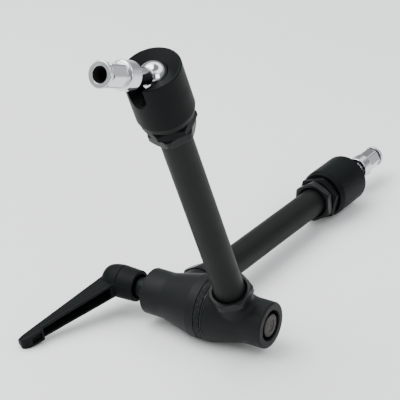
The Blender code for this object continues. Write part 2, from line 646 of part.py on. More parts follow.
def lever_screw(parent):
    """Socket screw that holds the handle on the insert, with the spring under its head."""
    tip = BOLT_END + GAP - HANDLE_ROOT
    head = SCREW_HEAD_START - HANDLE_ROOT
    top = SCREW_TOP - HANDLE_ROOT
    body = turned("lever_screw", [(0, tip), (SCREW_RADIUS, tip), (SCREW_RADIUS, head),
                                  (SCREW_HEAD_RADIUS, head), (SCREW_HEAD_RADIUS, top),
                                  (0, top)], parent, DARK_STEEL_LOOK, "X",
                  SMALL_SEGMENTS)
    corner_radius = SCREW_SOCKET_FLATS / sqrt(3)
    ends = (top - SCREW_SOCKET_DEPTH, top + OVERRUN)
    rings = [[(place, corner_radius * cos(pi / 3 * i), corner_radius * sin(pi / 3 * i))
              for i in range(6)] for place in ends]
    boolean(body, finished("lever_screw_socket", skinned_mesh(rings), parent))
    return body


def handle_station(distance):
    """Width and height of the handle at a distance from the hub's axis."""
    share = distance / HANDLE_LENGTH
    width = HANDLE_WIDTH_ROOT + (HANDLE_WIDTH_TIP - HANDLE_WIDTH_ROOT) * share
    height = HANDLE_HEIGHT_ROOT + (HANDLE_HEIGHT_TIP - HANDLE_HEIGHT_ROOT) * share
    return width, height


def handle_places(distance, flat):
    """Carry (across, above the underside) points of one section to the lever's frame."""
    along = Vector((sin(LEVER_LEAN), 0, cos(LEVER_LEAN)))
    up = Vector((cos(LEVER_LEAN), 0, -sin(LEVER_LEAN)))
    return [along * distance + Vector((0, x, 0)) + up * z for x, z in flat]


def handle_ring(distance, low, side_draw=0.0, back_draw=0.0):
    """Section of the handle: a lipped underside, drafted sides and a crowned back."""
    width, height = handle_station(distance)
    half = width / 2 - side_draw
    top = height - back_draw
    draft = min(HANDLE_DRAFT, half / 3)
    lip = min(HANDLE_LIP, (top - low) / 4)
    right = [(half, low), (half, low + lip), (half - draft / 2, low + lip + draft / 2)]
    for i in range(CROWN_STEPS + 1):
        angle = pi / 2 * i / CROWN_STEPS
        right.append(((half - draft) * cos(angle), top - HANDLE_CROWN * (1 - sin(angle))))
    right[-1] = (0, top)
    return handle_places(distance, right + [(-x, z) for x, z in reversed(right[:-1])])


def channel_ring(distance, inset, low, top):
    """Section of a drafted cut into the handle's underside."""
    half = handle_station(distance)[0] / 2 - inset
    floor = half - CHANNEL_DRAFT
    return handle_places(distance, [(half, low), (-half, low), (-floor, top), (floor, top)])


def lever_handle(parent):
    """Die-cast lever: domed hub, handle leaning outward, channelled underside."""
    start = HUB_START - HANDLE_ROOT
    seam = HUB_SEAM - HANDLE_ROOT
    end = HUB_END - HANDLE_ROOT
    dome_height = end - seam
    dome = [(start, HUB_RADIUS - LINE_CHAMFER), (start + LINE_CHAMFER, HUB_RADIUS),
            (seam, HUB_SEAM_RADIUS)]
    for i in range(1, DOME_STEPS + 1):
        angle = pi / 2 * i / DOME_STEPS
        dome.append((seam + dome_height * sin(angle),
                     HUB_DOME_RADIUS + (HUB_SEAM_RADIUS - HUB_DOME_RADIUS) * cos(angle)))
    profile = [(0, start)] + [(radius, place) for place, radius in dome] + [(0, end)]
    body = turned("lever_handle", profile, parent, HANDLE_LOOK, "X")

    rings = [handle_ring(0.0, 0.0), handle_ring(TIP_BLOCK_START, 0.0),
             handle_ring(TIP_BLOCK_START + TIP_STEP_LENGTH, -TIP_STEP_DROP)]
    for i in range(TIP_STEPS + 1):
        angle = pi / 2 * i / TIP_STEPS
        bend = 1 - cos(angle)
        rings.append(handle_ring(
            TIP_BLOCK_END + (HANDLE_LENGTH - TIP_BLOCK_END) * sin(angle),
            (TIP_BLOCK_DROP + TIP_RISE) * bend - TIP_BLOCK_DROP,
            TIP_SIDE_DRAW * bend, TIP_BACK_DRAW * bend))
    grip = finished("lever_handle_grip", skinned_mesh(rings), parent)
    boolean(body, grip, "UNION")

    channel_end = TIP_BLOCK_START - CHANNEL_WALL
    channel = skinned_mesh([
        channel_ring(place, HANDLE_WALL, -OVERRUN, handle_station(place)[1] - CHANNEL_FLOOR)
        for place in (CHANNEL_START, channel_end)])
    boolean(body, finished("lever_handle_channel", channel, parent))
    pocket_start = TIP_BLOCK_START + TIP_STEP_LENGTH + TIP_POCKET_WALL
    pocket = skinned_mesh([channel_ring(place, TIP_POCKET_WALL, -TIP_BLOCK_DROP - OVERRUN,
                                        TIP_POCKET_DEPTH - TIP_BLOCK_DROP)
                           for place in (pocket_start, TIP_POCKET_END)])
    boolean(body, finished("lever_handle_tip_pocket", pocket, parent), solver="MANIFOLD")

    hollow = turned("lever_handle_bore", [
        (0, start - OVERRUN), (HUB_BORE_RADIUS, start - OVERRUN),
        (HUB_BORE_RADIUS, TOOTH_START - HANDLE_ROOT), (0, TOOTH_START - HANDLE_ROOT)],
        parent, None, "X")
    boolean(body, hollow)
    teeth_start = TOOTH_START - HANDLE_ROOT - GAP
    teeth_end = TOOTH_END + GAP - HANDLE_ROOT
    teeth = skinned_mesh([tooth_ring(place, TOOTH_GAP) for place in (teeth_start, teeth_end)])
    boolean(body, finished("lever_handle_teeth", teeth, parent), solver="MANIFOLD")
    floor = POCKET_FLOOR - HANDLE_ROOT
    passage = turned("lever_handle_passage", [
        (0, teeth_end - GAP), (SCREW_RADIUS + GAP, teeth_end - GAP),
        (SCREW_RADIUS + GAP, floor), (HUB_POCKET_RADIUS, floor),
        (HUB_POCKET_RADIUS, end + OVERRUN), (0, end + OVERRUN)],
        parent, None, "X", SMALL_SEGMENTS)
    boolean(body, passage, solver="MANIFOLD")
    return body


clear_scene()

# Frames of the elbow and of the two arms
stand = bpy.data.objects.new("stand", None)
bpy.context.collection.objects.link(stand)
elbow = frame("elbow_axis", stand, (0, 0, RIM_RADIUS), (1, 0, 0), (0, 0, 1))
rear_arm = frame("rear_arm", elbow, (-TUBE_OFFSET, 0, 0), (-1, 0, 0), (0, 1, 0))
front_arm = frame("front_arm", elbow, (TUBE_OFFSET, 0, 0), (1, 0, 0),
                  (0, -sin(FRONT_LEAN), cos(FRONT_LEAN)))
lever = frame("lever_axis", elbow, (-HANDLE_ROOT, 0, 0), (-1, 0, 0), (0, -1, 0))

# Elbow
housing("rear", rear_arm, REAR_FACE, REAR_RIM_LENGTH)
housing("front", front_arm, FRONT_FACE, FRONT_RIM_LENGTH)
washer("friction_disc", elbow, RIM_RADIUS - DISC_INSET, SPRING_BORE_RADIUS, DISC_START,
       DISC_END, FRICTION_LOOK)
washer("wear_plate", elbow, RIM_RADIUS - DISC_INSET, SPRING_BORE_RADIUS, PLATE_START,
       PLATE_END, PLATE_LOOK)
turned("tie_bolt", [(0, -BOLT_END), (BOLT_RADIUS, -BOLT_END), (BOLT_RADIUS, HEAD_START),
                    (HEAD_RADIUS, HEAD_START), (HEAD_RADIUS, HEAD_END - HEAD_CHAMFER),
                    (HEAD_RADIUS - HEAD_CHAMFER, HEAD_END), (0, HEAD_END)],
       elbow, DARK_STEEL_LOOK, "X")
for name, parent in (("bolt_washer", front_arm), ("thrust_washer", rear_arm)):
    washer(name, parent, BORE_RADIUS - GAP, BOLT_RADIUS + GAP, WASHER_START - TUBE_OFFSET,
           WASHER_END - TUBE_OFFSET, STEEL_LOOK, SMALL_SEGMENTS)
helix("release_spring", elbow, BOLT_RADIUS + GAP + SPRING_WIRE, SPRING_WIRE,
      -WEDGE_START + GAP, WEDGE_START - GAP, SPRING_TURNS, STEEL_LOOK)

# The two arms
heads = {}
for side, arm in (("rear", rear_arm), ("front", front_arm)):
    wedge(side + "_wedge", arm)
    push_rod(side + "_push_rod", arm)
    tube(side + "_tube", arm)
    jam_nut(side + "_elbow_nut", arm, ELBOW_NUT_BOTTOM)
    jam_nut(side + "_head_nut", arm, HEAD_NUT_BOTTOM)
    heads[side] = socket(side + "_socket", arm)
    pressure_pad(side + "_pressure_pad", arm)
    head = frame(side + "_ball_centre", arm, (0, 0, BALL_CENTRE), (1, 0, 0),
                 STUD_DIRECTIONS[side])
    ball(side + "_ball", head)
    stud(side + "_stud", head)

# Lever
handle = lever_handle(lever)
lever_insert(lever)
lever_screw(lever)
helix("lever_spring", lever, SCREW_RADIUS + GAP + HANDLE_SPRING_WIRE, HANDLE_SPRING_WIRE,
      POCKET_FLOOR + GAP - HANDLE_ROOT, SCREW_HEAD_START - GAP - HANDLE_ROOT,
      HANDLE_SPRING_TURNS, STEEL_LOOK)


def settle(turning, pieces, swing):
    """Turn a frame about the elbow's axis until its lowest point meets the floor."""
    rest = turning.rotation_euler.to_matrix()
    low, high = swing
    for _ in range(SETTLE_STEPS):
        middle = (low + high) / 2
        turning.rotation_euler = (Matrix.Rotation(middle, 3, "X") @ rest).to_euler()
        if lowest(pieces) > 0:
            low = middle
        else:
            high = middle
    return middle


# Put the arm down: the rear arm sinks from level, and the lever from level the other way
rear_slope = settle(rear_arm, [heads["rear"]], REAR_SWING)
lever_slope = settle(lever, [handle], LEVER_SWING)
print("rear arm from level, degrees:", round(degrees(rear_slope), 3))
print("lever from level, degrees:", round(degrees(lever_slope), 3))

# Put the origin in the middle of the footprint, at floor height
bounds = [point for piece in bpy.data.objects if piece.type == "MESH"
          and not piece.hide_render for point in world_points(piece)]
middle_x = (min(p.x for p in bounds) + max(p.x for p in bounds)) / 2
middle_y = (min(p.y for p in bounds) + max(p.y for p in bounds)) / 2
stand.location = (-middle_x, -middle_y, -min(p.z for p in bounds))
bpy.context.view_layer.update()
print("elbow axis at, mm:", [round(value / MM, 3) for value in elbow.matrix_world.translation])
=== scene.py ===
# %% [markdown]
# An articulated grip arm, such as holds a small light or a monitor on a film set. Two tubes
# meet in a clamping elbow, each ends in a ball head with a chromed stud, and one ratchet lever
# locks everything at once. The solids are already built and packed, so this script only
# dresses them: it turns finer surfaces round the same axes, gives each piece a finish of its
# own, and sets up a small studio. Nothing here changes a size or a joint.

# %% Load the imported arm
import json
from math import asin, atan2, cos, pi, radians, sin, sqrt, tan

import bmesh
import bpy
from mathutils import Matrix, Quaternion, Vector


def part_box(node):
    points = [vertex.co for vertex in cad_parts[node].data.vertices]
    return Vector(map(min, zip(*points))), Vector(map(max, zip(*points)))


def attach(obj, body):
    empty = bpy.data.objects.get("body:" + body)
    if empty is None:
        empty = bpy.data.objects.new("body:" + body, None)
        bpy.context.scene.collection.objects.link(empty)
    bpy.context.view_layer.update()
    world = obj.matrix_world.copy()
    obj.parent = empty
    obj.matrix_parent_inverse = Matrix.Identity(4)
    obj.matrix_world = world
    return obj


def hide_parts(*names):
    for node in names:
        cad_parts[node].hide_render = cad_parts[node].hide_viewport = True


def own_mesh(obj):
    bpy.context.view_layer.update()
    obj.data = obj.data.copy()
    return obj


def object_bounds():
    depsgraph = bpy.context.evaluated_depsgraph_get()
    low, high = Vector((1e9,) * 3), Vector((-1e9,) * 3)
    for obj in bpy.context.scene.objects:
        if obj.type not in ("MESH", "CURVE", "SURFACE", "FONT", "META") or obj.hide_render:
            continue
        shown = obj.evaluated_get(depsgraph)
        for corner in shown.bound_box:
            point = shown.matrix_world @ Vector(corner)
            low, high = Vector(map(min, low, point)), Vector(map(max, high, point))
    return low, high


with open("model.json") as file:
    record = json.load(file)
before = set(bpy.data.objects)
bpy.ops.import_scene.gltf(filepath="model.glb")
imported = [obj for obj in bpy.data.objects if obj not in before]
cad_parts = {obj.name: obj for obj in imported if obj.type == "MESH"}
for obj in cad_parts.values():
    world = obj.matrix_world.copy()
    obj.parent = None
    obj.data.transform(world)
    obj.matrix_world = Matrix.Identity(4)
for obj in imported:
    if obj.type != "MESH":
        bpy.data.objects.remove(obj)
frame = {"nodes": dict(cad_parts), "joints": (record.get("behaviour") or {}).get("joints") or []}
cad_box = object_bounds()
MM = 0.001
joints = {joint["name"]: joint for joint in frame["joints"]}
print("nodes:", len(frame["nodes"]), "joints:", len(joints))

# %% [markdown]
# Every turned piece here has an axis of its own, and the record's joints already hold all of
# them. The elbow's hinge gives the axis of both housings, the rods' slides run along the
# tubes, and the balls' hinges sit at the ball centres. A matrix made from two directions then
# carries a piece that is drawn upright at the origin to its place on the arm.

# %% Frames of the elbow, the arms and the heads
def placed(origin, outward, along):
    """Matrix of a frame with Z along one direction and X as near as can be to another."""
    z_axis = Vector(along).normalized()
    y_axis = z_axis.cross(Vector(outward)).normalized()
    x_axis = y_axis.cross(z_axis)
    turn = Matrix((x_axis, y_axis, z_axis)).transposed()
    return Matrix.Translation(origin) @ turn.to_4x4()


elbow_middle = Vector(joints["elbow"]["pos_m"])
elbow_axis = Vector(joints["elbow"]["axis"])
SIDES = {"front": elbow_axis, "rear": -elbow_axis}


def arm_frame(side):
    """Z along the tube, X outward along the elbow's axis, origin on that axis."""
    low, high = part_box(side + "_tube")
    origin = Vector(((low.x + high.x) / 2, elbow_middle.y, elbow_middle.z))
    return placed(origin, SIDES[side], -Vector(joints[side + "_rod_slide"]["axis"]))


arms = {side: arm_frame(side) for side in SIDES}
heads = {side: placed(Vector(joints[side + "_roll"]["pos_m"]),
                      arms[side].to_3x3() @ Vector((1, 0, 0)), joints[side + "_roll"]["axis"])
         for side in SIDES}
LIE_ALONG_X = Matrix.Rotation(pi / 2, 4, "Y")
print("tube spacing, mm:", round((arms["front"].translation - arms["rear"].translation).x / MM, 2))

# %% [markdown]
# The lever can be clamped at any angle, so its frame is read from the handle itself. The
# points farthest from the elbow's axis all lie round the tip, and their middle shows which
# way the handle points.

# %% Frame of the lever
TIP_SLICE = 1.0 * MM           # how much of the tip is averaged


def from_elbow_axis(point):
    """Part of a point's offset that is square to the elbow's axis."""
    offset = point - elbow_middle
    return offset - elbow_axis * offset.dot(elbow_axis)


handle_points = [vertex.co.copy() for vertex in frame["nodes"]["lever_handle"].data.vertices]
handle_reach = max(from_elbow_axis(point).length for point in handle_points)
tip_points = [from_elbow_axis(point) for point in handle_points
              if from_elbow_axis(point).length > handle_reach - TIP_SLICE]
lever = placed(elbow_middle, -elbow_axis, sum(tip_points, Vector()) / len(tip_points))
print("lever reaches, mm:", round(handle_reach / MM, 2))


# %% Measure a node in its own frame
def points_of(name, matrix):
    """Points of a node, seen from another frame."""
    inverse = matrix.inverted()
    return [inverse @ vertex.co for vertex in frame["nodes"][name].data.vertices]


def measure(name, matrix, axis="Z"):
    """Lowest and highest place, and least and greatest reach, of a node round an axis, in mm."""
    points = points_of(name, matrix)
    if axis == "X":
        points = [Vector((point.z, point.y, point.x)) for point in points]
    places = [point.z / MM for point in points]
    reaches = [point.xy.length / MM for point in points]
    return min(places), max(places), min(reaches), max(reaches)


for name in ("front_tube", "front_head_nut", "front_socket"):
    print(name, [round(value, 2) for value in measure(name, arms["front"])])

# %% [markdown]
# Shaders and Geometry Nodes are both trees of nodes, and building one takes the same few moves
# over and over: add a node, choose its options, and fill each input with a number or with the
# output of another node. These small functions do that, so that each tree below reads as a
# list of what it works out.


# %% Helpers for node trees
def feed(tree, owner, values):
    """Fill a node's inputs: an output of another node is linked, anything else is set."""
    for label, value in values.items():
        if isinstance(value, bpy.types.NodeSocket):
            tree.links.new(value, owner.inputs[label])
        else:
            owner.inputs[label].default_value = value


def node(tree, kind, place, inputs=None, **options):
    """Add a node at a place on the grid, with its options and its inputs."""
    made = tree.nodes.new(kind)
    made.location = (place[0] * 200, place[1] * -200)
    for name, value in options.items():
        setattr(made, name, value)
    feed(tree, made, inputs or {})
    return made


def calc(tree, operation, place, *values):
    """Output of a Math node whose inputs are outputs or numbers."""
    return node(tree, "ShaderNodeMath", place, dict(enumerate(values)),
                operation=operation).outputs[0]


def noise(tree, place, **values):
    """Output of a Noise Texture."""
    return node(tree, "ShaderNodeTexNoise", place, values).outputs["Fac"]


def socket(owner, name, kind="NodeSocketFloat", value=None, way="INPUT"):
    """Add a named input or output to a group."""
    made = owner.interface.new_socket(name=name, in_out=way, socket_type=kind)
    if value is not None:
        made.default_value = value


def add_object(name, data):
    """New object in the scene."""
    thing = bpy.data.objects.new(name, data)
    bpy.context.scene.collection.objects.link(thing)
    return thing


def finish(name, colour, roughness, metallic, gloss=0.5):
    """New material: returns it with its tree, its shader and its Object coordinates."""
    made = bpy.data.materials.new(name)
    made.use_nodes = True
    tree = made.node_tree
    shader = tree.nodes["Principled BSDF"]
    feed(tree, shader, {"Base Color": (*colour, 1.0), "Roughness": roughness,
                        "Metallic": metallic, "Specular IOR Level": gloss})
    return made, tree, shader, node(tree, "ShaderNodeTexCoord", (-8, 0)).outputs["Object"]


# %% [markdown]
# The studio. The photograph shows the arm cut out on white, so the floor and the surroundings
# are near white and the light is soft. Black satin pieces only show their form in what they
# reflect: a bright ceiling and a large softbox overhead draw the long sheen on the tubes, and
# two lower softboxes, at the side and in front, light the cups and the elbow. It is dimmer
# behind the camera, which the chrome shows. The camera stands where the photograph was taken
# from, which was worked out from the outlines of the tubes, the elbow and the lever.

# %% Camera
CAMERA_FROM_ELBOW = Vector((564.62, -889.78, 596.10)) * MM
CAMERA_AZIMUTH = radians(32.710)
CAMERA_ELEVATION = radians(26.165)
CAMERA_ROLL = radians(-0.85)
CAMERA_LENS = 166.57
CAMERA_SENSOR = 36.0
CAMERA_NEAR = 0.05


def add_camera():
    camera = add_object("camera", bpy.data.cameras.new("camera"))
    back = Vector((sin(CAMERA_AZIMUTH) * cos(CAMERA_ELEVATION),
                   -cos(CAMERA_AZIMUTH) * cos(CAMERA_ELEVATION), sin(CAMERA_ELEVATION)))
    camera.rotation_mode = "QUATERNION"
    camera.rotation_quaternion = Quaternion(back, CAMERA_ROLL) @ back.to_track_quat("Z", "Y")
    camera.location = elbow_middle + CAMERA_FROM_ELBOW
    camera.data.lens = CAMERA_LENS
    camera.data.sensor_width = CAMERA_SENSOR
    camera.data.clip_start = CAMERA_NEAR
    bpy.context.scene.camera = camera
    return camera


right = add_camera().rotation_quaternion @ Vector((1, 0, 0))
print("camera's right:", [round(value, 4) for value in right])

# %% Floor, surroundings and softboxes
FLOOR_HALF = 8.0
PAPER_WHITE = (0.93, 0.93, 0.93)
SKY_COLOUR = (0.96, 0.99, 1.0, 1.0)
SKY_BRIGHTEST = 2.9
# Light of the surroundings against the height of the direction: horizon, walls, ceiling, top.
SKY = ((0.0, 0.9), (0.10, 0.9), (0.24, 0.5), (0.52, 0.5), (0.72, SKY_BRIGHTEST),
       (0.82, SKY_BRIGHTEST), (0.90, 0.4), (1.0, 0.4))
DARK_SIDE = 0.25               # share of it that is left behind the camera
DARK_FROM, DARK_TO = 0.78, 0.98   # cosines of the angle from the camera's direction
SOFTBOXES = (("overhead", (-0.5, -0.3, 1.6), 1.1, 24.0), ("side", (1.5, -0.9, 0.9), 0.8, 9.0),
             ("front", (-0.75, -0.95, 0.95), 1.0, 8.0))   # name, place, size, watts


def add_floor(half):
    mesh = bpy.data.meshes.new("floor")
    mesh.from_pydata([(-half, -half, 0), (half, -half, 0), (half, half, 0), (-half, half, 0)],
                     [], [(0, 1, 2, 3)])
    mesh.materials.append(finish("studio_paper", PAPER_WHITE, 0.9, 0.0, 0.1)[0])
    add_object("floor", mesh)


def add_surroundings():
    """Soft white ceiling over dimmer walls, and dark where the photographer stands."""
    world = bpy.data.worlds.new("surroundings")
    world.use_nodes = True
    tree = world.node_tree
    direction = node(tree, "ShaderNodeTexCoord", (-6, 0)).outputs["Generated"]
    parts = node(tree, "ShaderNodeSeparateXYZ", (-5, 0), {"Vector": direction})
    rise = node(tree, "ShaderNodeFloatCurve", (-4, 0), {"Value": parts.outputs["Z"]})
    curve = rise.mapping.curves[0]
    for height, level in SKY[1:-1]:
        curve.points.new(height, level / SKY_BRIGHTEST)
    for end in (0, -1):
        curve.points[end].location = (SKY[end][0], SKY[end][1] / SKY_BRIGHTEST)
    rise.mapping.update()
    toward = node(tree, "ShaderNodeVectorMath", (-5, 2),
                  {0: direction, 1: CAMERA_FROM_ELBOW.normalized()}, operation="DOT_PRODUCT")
    shade = node(tree, "ShaderNodeMapRange", (-4, 2),
                 {"Value": toward.outputs["Value"], "From Min": DARK_FROM, "From Max": DARK_TO,
                  "To Min": 1.0, "To Max": DARK_SIDE}, interpolation_type="SMOOTHSTEP")
    level = calc(tree, "MULTIPLY", (-3, 0), rise.outputs["Value"], SKY_BRIGHTEST)
    light = calc(tree, "MULTIPLY", (-2, 0), level, shade.outputs["Result"])
    feed(tree, tree.nodes["Background"], {"Color": SKY_COLOUR, "Strength": light})
    bpy.context.scene.world = world


def add_softbox(name, place, size, watts):
    """Square area light that looks at the middle of the arm."""
    light = bpy.data.lights.new(name, "AREA")
    light.size = size
    light.energy = watts
    lamp = add_object(name, light)
    lamp.location = place
    lamp.rotation_mode = "QUATERNION"
    middle = (cad_box[0] + cad_box[1]) / 2
    lamp.rotation_quaternion = (Vector(place) - middle).to_track_quat("Z", "Y")


add_floor(FLOOR_HALF)
add_surroundings()
for name, place, size, watts in SOFTBOXES:
    add_softbox("softbox_" + name, place, size, watts)

# %% [markdown]
# Finishes share a few effects, so each effect is one shader node group that is built once and
# placed in every material that needs it, with its own numbers. A group only works out masks
# and heights. The Principled shader stays in the material, where its gloss can be read.
#
# The first group is grain: the tiny lumps of a powder coat or a casting. Noise at the size of
# the grain gives a height for the Bump node, and the same noise shifts the roughness a little.


# %% Grain of a coating or a casting
def shader_group(name, numbers, outputs):
    """New shader group with named inputs and outputs: its tree, inputs and output node."""
    tree = bpy.data.node_groups.new(name, "ShaderNodeTree")
    socket(tree, "Vector", "NodeSocketVector")
    for label, value in numbers.items():
        socket(tree, label, value=value)
    for label in outputs:
        socket(tree, label, way="OUTPUT")
    given = node(tree, "NodeGroupInput", (0, 0)).outputs
    return tree, given, node(tree, "NodeGroupOutput", (8, 0))


def build_grain():
    tree, given, end = shader_group("coating_grain", {
        "Grains per Metre": 2500.0, "Roughness Shift": 0.05}, ("Height", "Roughness Shift"))
    fine = noise(tree, (2, 0), Vector=given["Vector"], Scale=given["Grains per Metre"],
                 Detail=3.0, Roughness=0.6)
    centred = calc(tree, "SUBTRACT", (4, 1), fine, 0.5)
    shift = calc(tree, "MULTIPLY", (5, 1), centred, given["Roughness Shift"])
    feed(tree, end, {"Height": fine, "Roughness Shift": shift})
    return tree


grain_group = build_grain()

# %% [markdown]
# The second group finds edges. Black coatings rub thin along corners, where the piece is
# gripped and set down. The Bevel node gives the normal as if the edge were rounded: where that
# differs from the true normal, an edge is near. Noise breaks the band up, so that the wear
# comes and goes.


# %% Wear along edges
def build_edge_wear():
    tree, given, end = shader_group("edge_wear", {
        "Edge Width": 0.0004, "Patch Scale": 140.0, "Amount": 0.5}, ("Mask",))
    rounded_edge = node(tree, "ShaderNodeBevel", (1, 0), {"Radius": given["Edge Width"]},
                        samples=4)
    surface = node(tree, "ShaderNodeNewGeometry", (1, 1))
    match = node(tree, "ShaderNodeVectorMath", (2, 0),
                 {0: rounded_edge.outputs["Normal"], 1: surface.outputs["Normal"]},
                 operation="DOT_PRODUCT")
    band = calc(tree, "MULTIPLY", (4, 0),
                calc(tree, "SUBTRACT", (3, 0), 1.0, match.outputs["Value"]), 9.0)
    patches = noise(tree, (3, 2), Vector=given["Vector"], Scale=given["Patch Scale"], Detail=4.0)
    strength = calc(tree, "MULTIPLY", (6, 0), calc(tree, "MULTIPLY", (5, 0), band, patches),
                    given["Amount"])
    feed(tree, end, {"Mask": calc(tree, "MINIMUM", (7, 0), strength, given["Amount"])})
    return tree


wear_group = build_edge_wear()

# %% [markdown]
# The third group is handling: faint smears from fingers and cloths, a few centimetres across,
# which dull one stretch of a satin surface and leave the next one brighter. They are too weak
# to see by themselves, but without them a long tube looks like plastic pipe.


# %% Smears from handling
def build_smears():
    tree, given, end = shader_group("handling_smears", {
        "Smears per Metre": 45.0, "Shift": 0.08}, ("Shift",))
    stretched = node(tree, "ShaderNodeMapping", (1, 0),
                     {"Vector": given["Vector"], "Scale": (1.0, 0.6, 1.7)})
    cloud = noise(tree, (2, 0), Vector=stretched.outputs["Vector"],
                  Scale=given["Smears per Metre"], Detail=5.0, Distortion=0.8)
    centred = calc(tree, "SUBTRACT", (4, 0), cloud, 0.5)
    feed(tree, end, {"Shift": calc(tree, "MULTIPLY", (5, 0), centred, given["Shift"])})
    return tree


smear_group = build_smears()

# %% [markdown]
# The fourth group is the trace of a lathe tool: fine rings round the elbow's axis. Object
# coordinates are moved so that the axis runs through zero, and the distance from it, plus the
# place along it, goes through a noise in one dimension.


# %% Rings left by a lathe
def build_turning_marks():
    tree, given, end = shader_group("turning_marks", {"Rings per Metre": 4000.0}, ("Height",))
    centred = node(tree, "ShaderNodeMapping", (1, 0),
                   {"Vector": given["Vector"], "Location": -elbow_middle})
    parts = node(tree, "ShaderNodeSeparateXYZ", (2, 0),
                 {"Vector": centred.outputs["Vector"]}).outputs
    squares = [calc(tree, "MULTIPLY", (3, row), parts[label], parts[label])
               for row, label in enumerate("YZ")]
    reach = calc(tree, "SQRT", (5, 0), calc(tree, "ADD", (4, 0), *squares))
    rings = node(tree, "ShaderNodeTexNoise", (7, 0), {
        "W": calc(tree, "ADD", (6, 0), reach, parts["X"]), "Scale": given["Rings per Metre"],
        "Detail": 2.0}, noise_dimensions="1D")
    feed(tree, end, {"Height": rings.outputs["Fac"]})
    return tree


turning_group = build_turning_marks()
print("shader groups:", [tree.name for tree in bpy.data.node_groups])


# %% Place the effects in a material
def place_group(tree, group, place, vector, **values):
    """Put an effect in a material, with its own numbers."""
    numbers = {label.replace("_", " "): value for label, value in values.items()}
    return node(tree, "ShaderNodeGroup", place, {"Vector": vector, **numbers},
                node_tree=group).outputs


def bump(tree, shader, height, distance, strength=1.0):
    """Feed a height to the shader's normal; the distance is real."""
    made = node(tree, "ShaderNodeBump", (-2, 3),
                {"Height": height, "Distance": distance, "Strength": strength})
    feed(tree, shader, {"Normal": made.outputs["Normal"]})


def blend_colours(tree, shader, mask, base, other):
    """Base colour that turns into another one under a mask."""
    made = node(tree, "ShaderNodeMix", (-2, 0), {
        "A": base if isinstance(base, bpy.types.NodeSocket) else (*base, 1.0),
        "B": (*other, 1.0), "Factor": mask}, data_type="RGBA")
    feed(tree, shader, {"Base Color": made.outputs["Result"]})


# %% [markdown]
# The black pieces. Housings and sockets are aluminium castings with a satin black coat, the
# cups' a little blacker, the nuts have a glossier one that is worn at the edges, the tubes a
# finer, greyer one, and the lever a coarse powder coat. One function makes them all from their
# numbers.


# %% Black coats
COAT_BLACK = (0.0036, 0.0050, 0.0050)
CASTING_BLACK = (0.0052, 0.0066, 0.0066)
CUP_BLACK = (0.0020, 0.0032, 0.0032)
TUBE_GREY = (0.0070, 0.0078, 0.0075)
WORN = (0.05, 0.052, 0.052)
COAT_GLOSS = 0.10
GRAIN_SHIFT = 0.10


def coated(name, colour, roughness, grains, depth, wear, smear, gloss=COAT_GLOSS):
    """Painted or powder-coated metal with grain, smears and thin edges."""
    made, tree, shader, vector = finish(name, colour, roughness, 0.0, gloss)
    grain = place_group(tree, grain_group, (-6, 2), vector, Grains_per_Metre=grains,
                        Roughness_Shift=GRAIN_SHIFT)
    smears = place_group(tree, smear_group, (-6, 1), vector, Shift=smear)
    edges = place_group(tree, wear_group, (-6, 0), vector, Amount=wear)
    both = calc(tree, "ADD", (-4, 1), grain["Roughness Shift"], smears["Shift"])
    feed(tree, shader, {"Roughness": calc(tree, "ADD", (-3, 1), both, roughness)})
    blend_colours(tree, shader, edges["Mask"], colour, WORN)
    bump(tree, shader, grain["Height"], depth)
    return made


# Each coat: colour, roughness, grains per metre and their depth, wear, smears, gloss.
casting_coat = coated("casting_coat", CASTING_BLACK, 0.50, 2600.0, 0.00003, 0.35, 0.16, 0.13)
cup_coat = coated("cup_coat", CUP_BLACK, 0.50, 2600.0, 0.00003, 0.35, 0.16, 0.07)
nut_coat = coated("nut_coat", CASTING_BLACK, 0.33, 3200.0, 0.00001, 0.80, 0.10, 0.16)
tube_coat = coated("tube_coat", TUBE_GREY, 0.52, 5200.0, 0.00002, 0.25, 0.14)
lever_coat = coated("lever_coat", COAT_BLACK, 0.46, 1500.0, 0.00006, 0.30, 0.10, 0.07)

# %% [markdown]
# The friction lining between the housings is a pressed fibre disc: dark, dull and mottled,
# with a few light specks of metal and fibre. Two noises at different sizes give the mottling,
# and the bright tail of the finer one gives the specks.

# %% Friction lining
LINING_BLACK = (0.004, 0.005, 0.005)
LINING_SHADES = ((0.35, (0.0025, 0.0035, 0.0035, 1.0)), (0.72, (0.013, 0.016, 0.0155, 1.0)))
SPECK_COLOUR = (0.07, 0.075, 0.075)
SPECK_LEVEL = 0.70


def make_lining():
    made, tree, shader, vector = finish("friction_lining", LINING_BLACK, 0.62, 0.0, COAT_GLOSS)
    mottle = noise(tree, (-6, 0), Vector=vector, Scale=420.0, Detail=6.0, Roughness=0.7)
    specks = noise(tree, (-6, 2), Vector=vector, Scale=900.0, Detail=1.0)
    ramp = node(tree, "ShaderNodeValToRGB", (-4, 0), {"Fac": mottle})
    for stop, (place, colour) in zip(ramp.color_ramp.elements, LINING_SHADES):
        stop.position = place
        stop.color = colour
    bright = calc(tree, "GREATER_THAN", (-4, 2), specks, SPECK_LEVEL)
    blend_colours(tree, shader, bright, ramp.outputs["Color"], SPECK_COLOUR)
    bump(tree, shader, mottle, 0.00008)
    return made


friction_lining = make_lining()

# %% [markdown]
# Chrome plate is nearly a mirror. What gives it away as a real, handled piece is a slight
# waviness under the plate, left from polishing, and a thin haze that comes and goes.

# %% Chrome
CHROME_HAZE = 0.085
CHROME_CLEAREST = 0.03


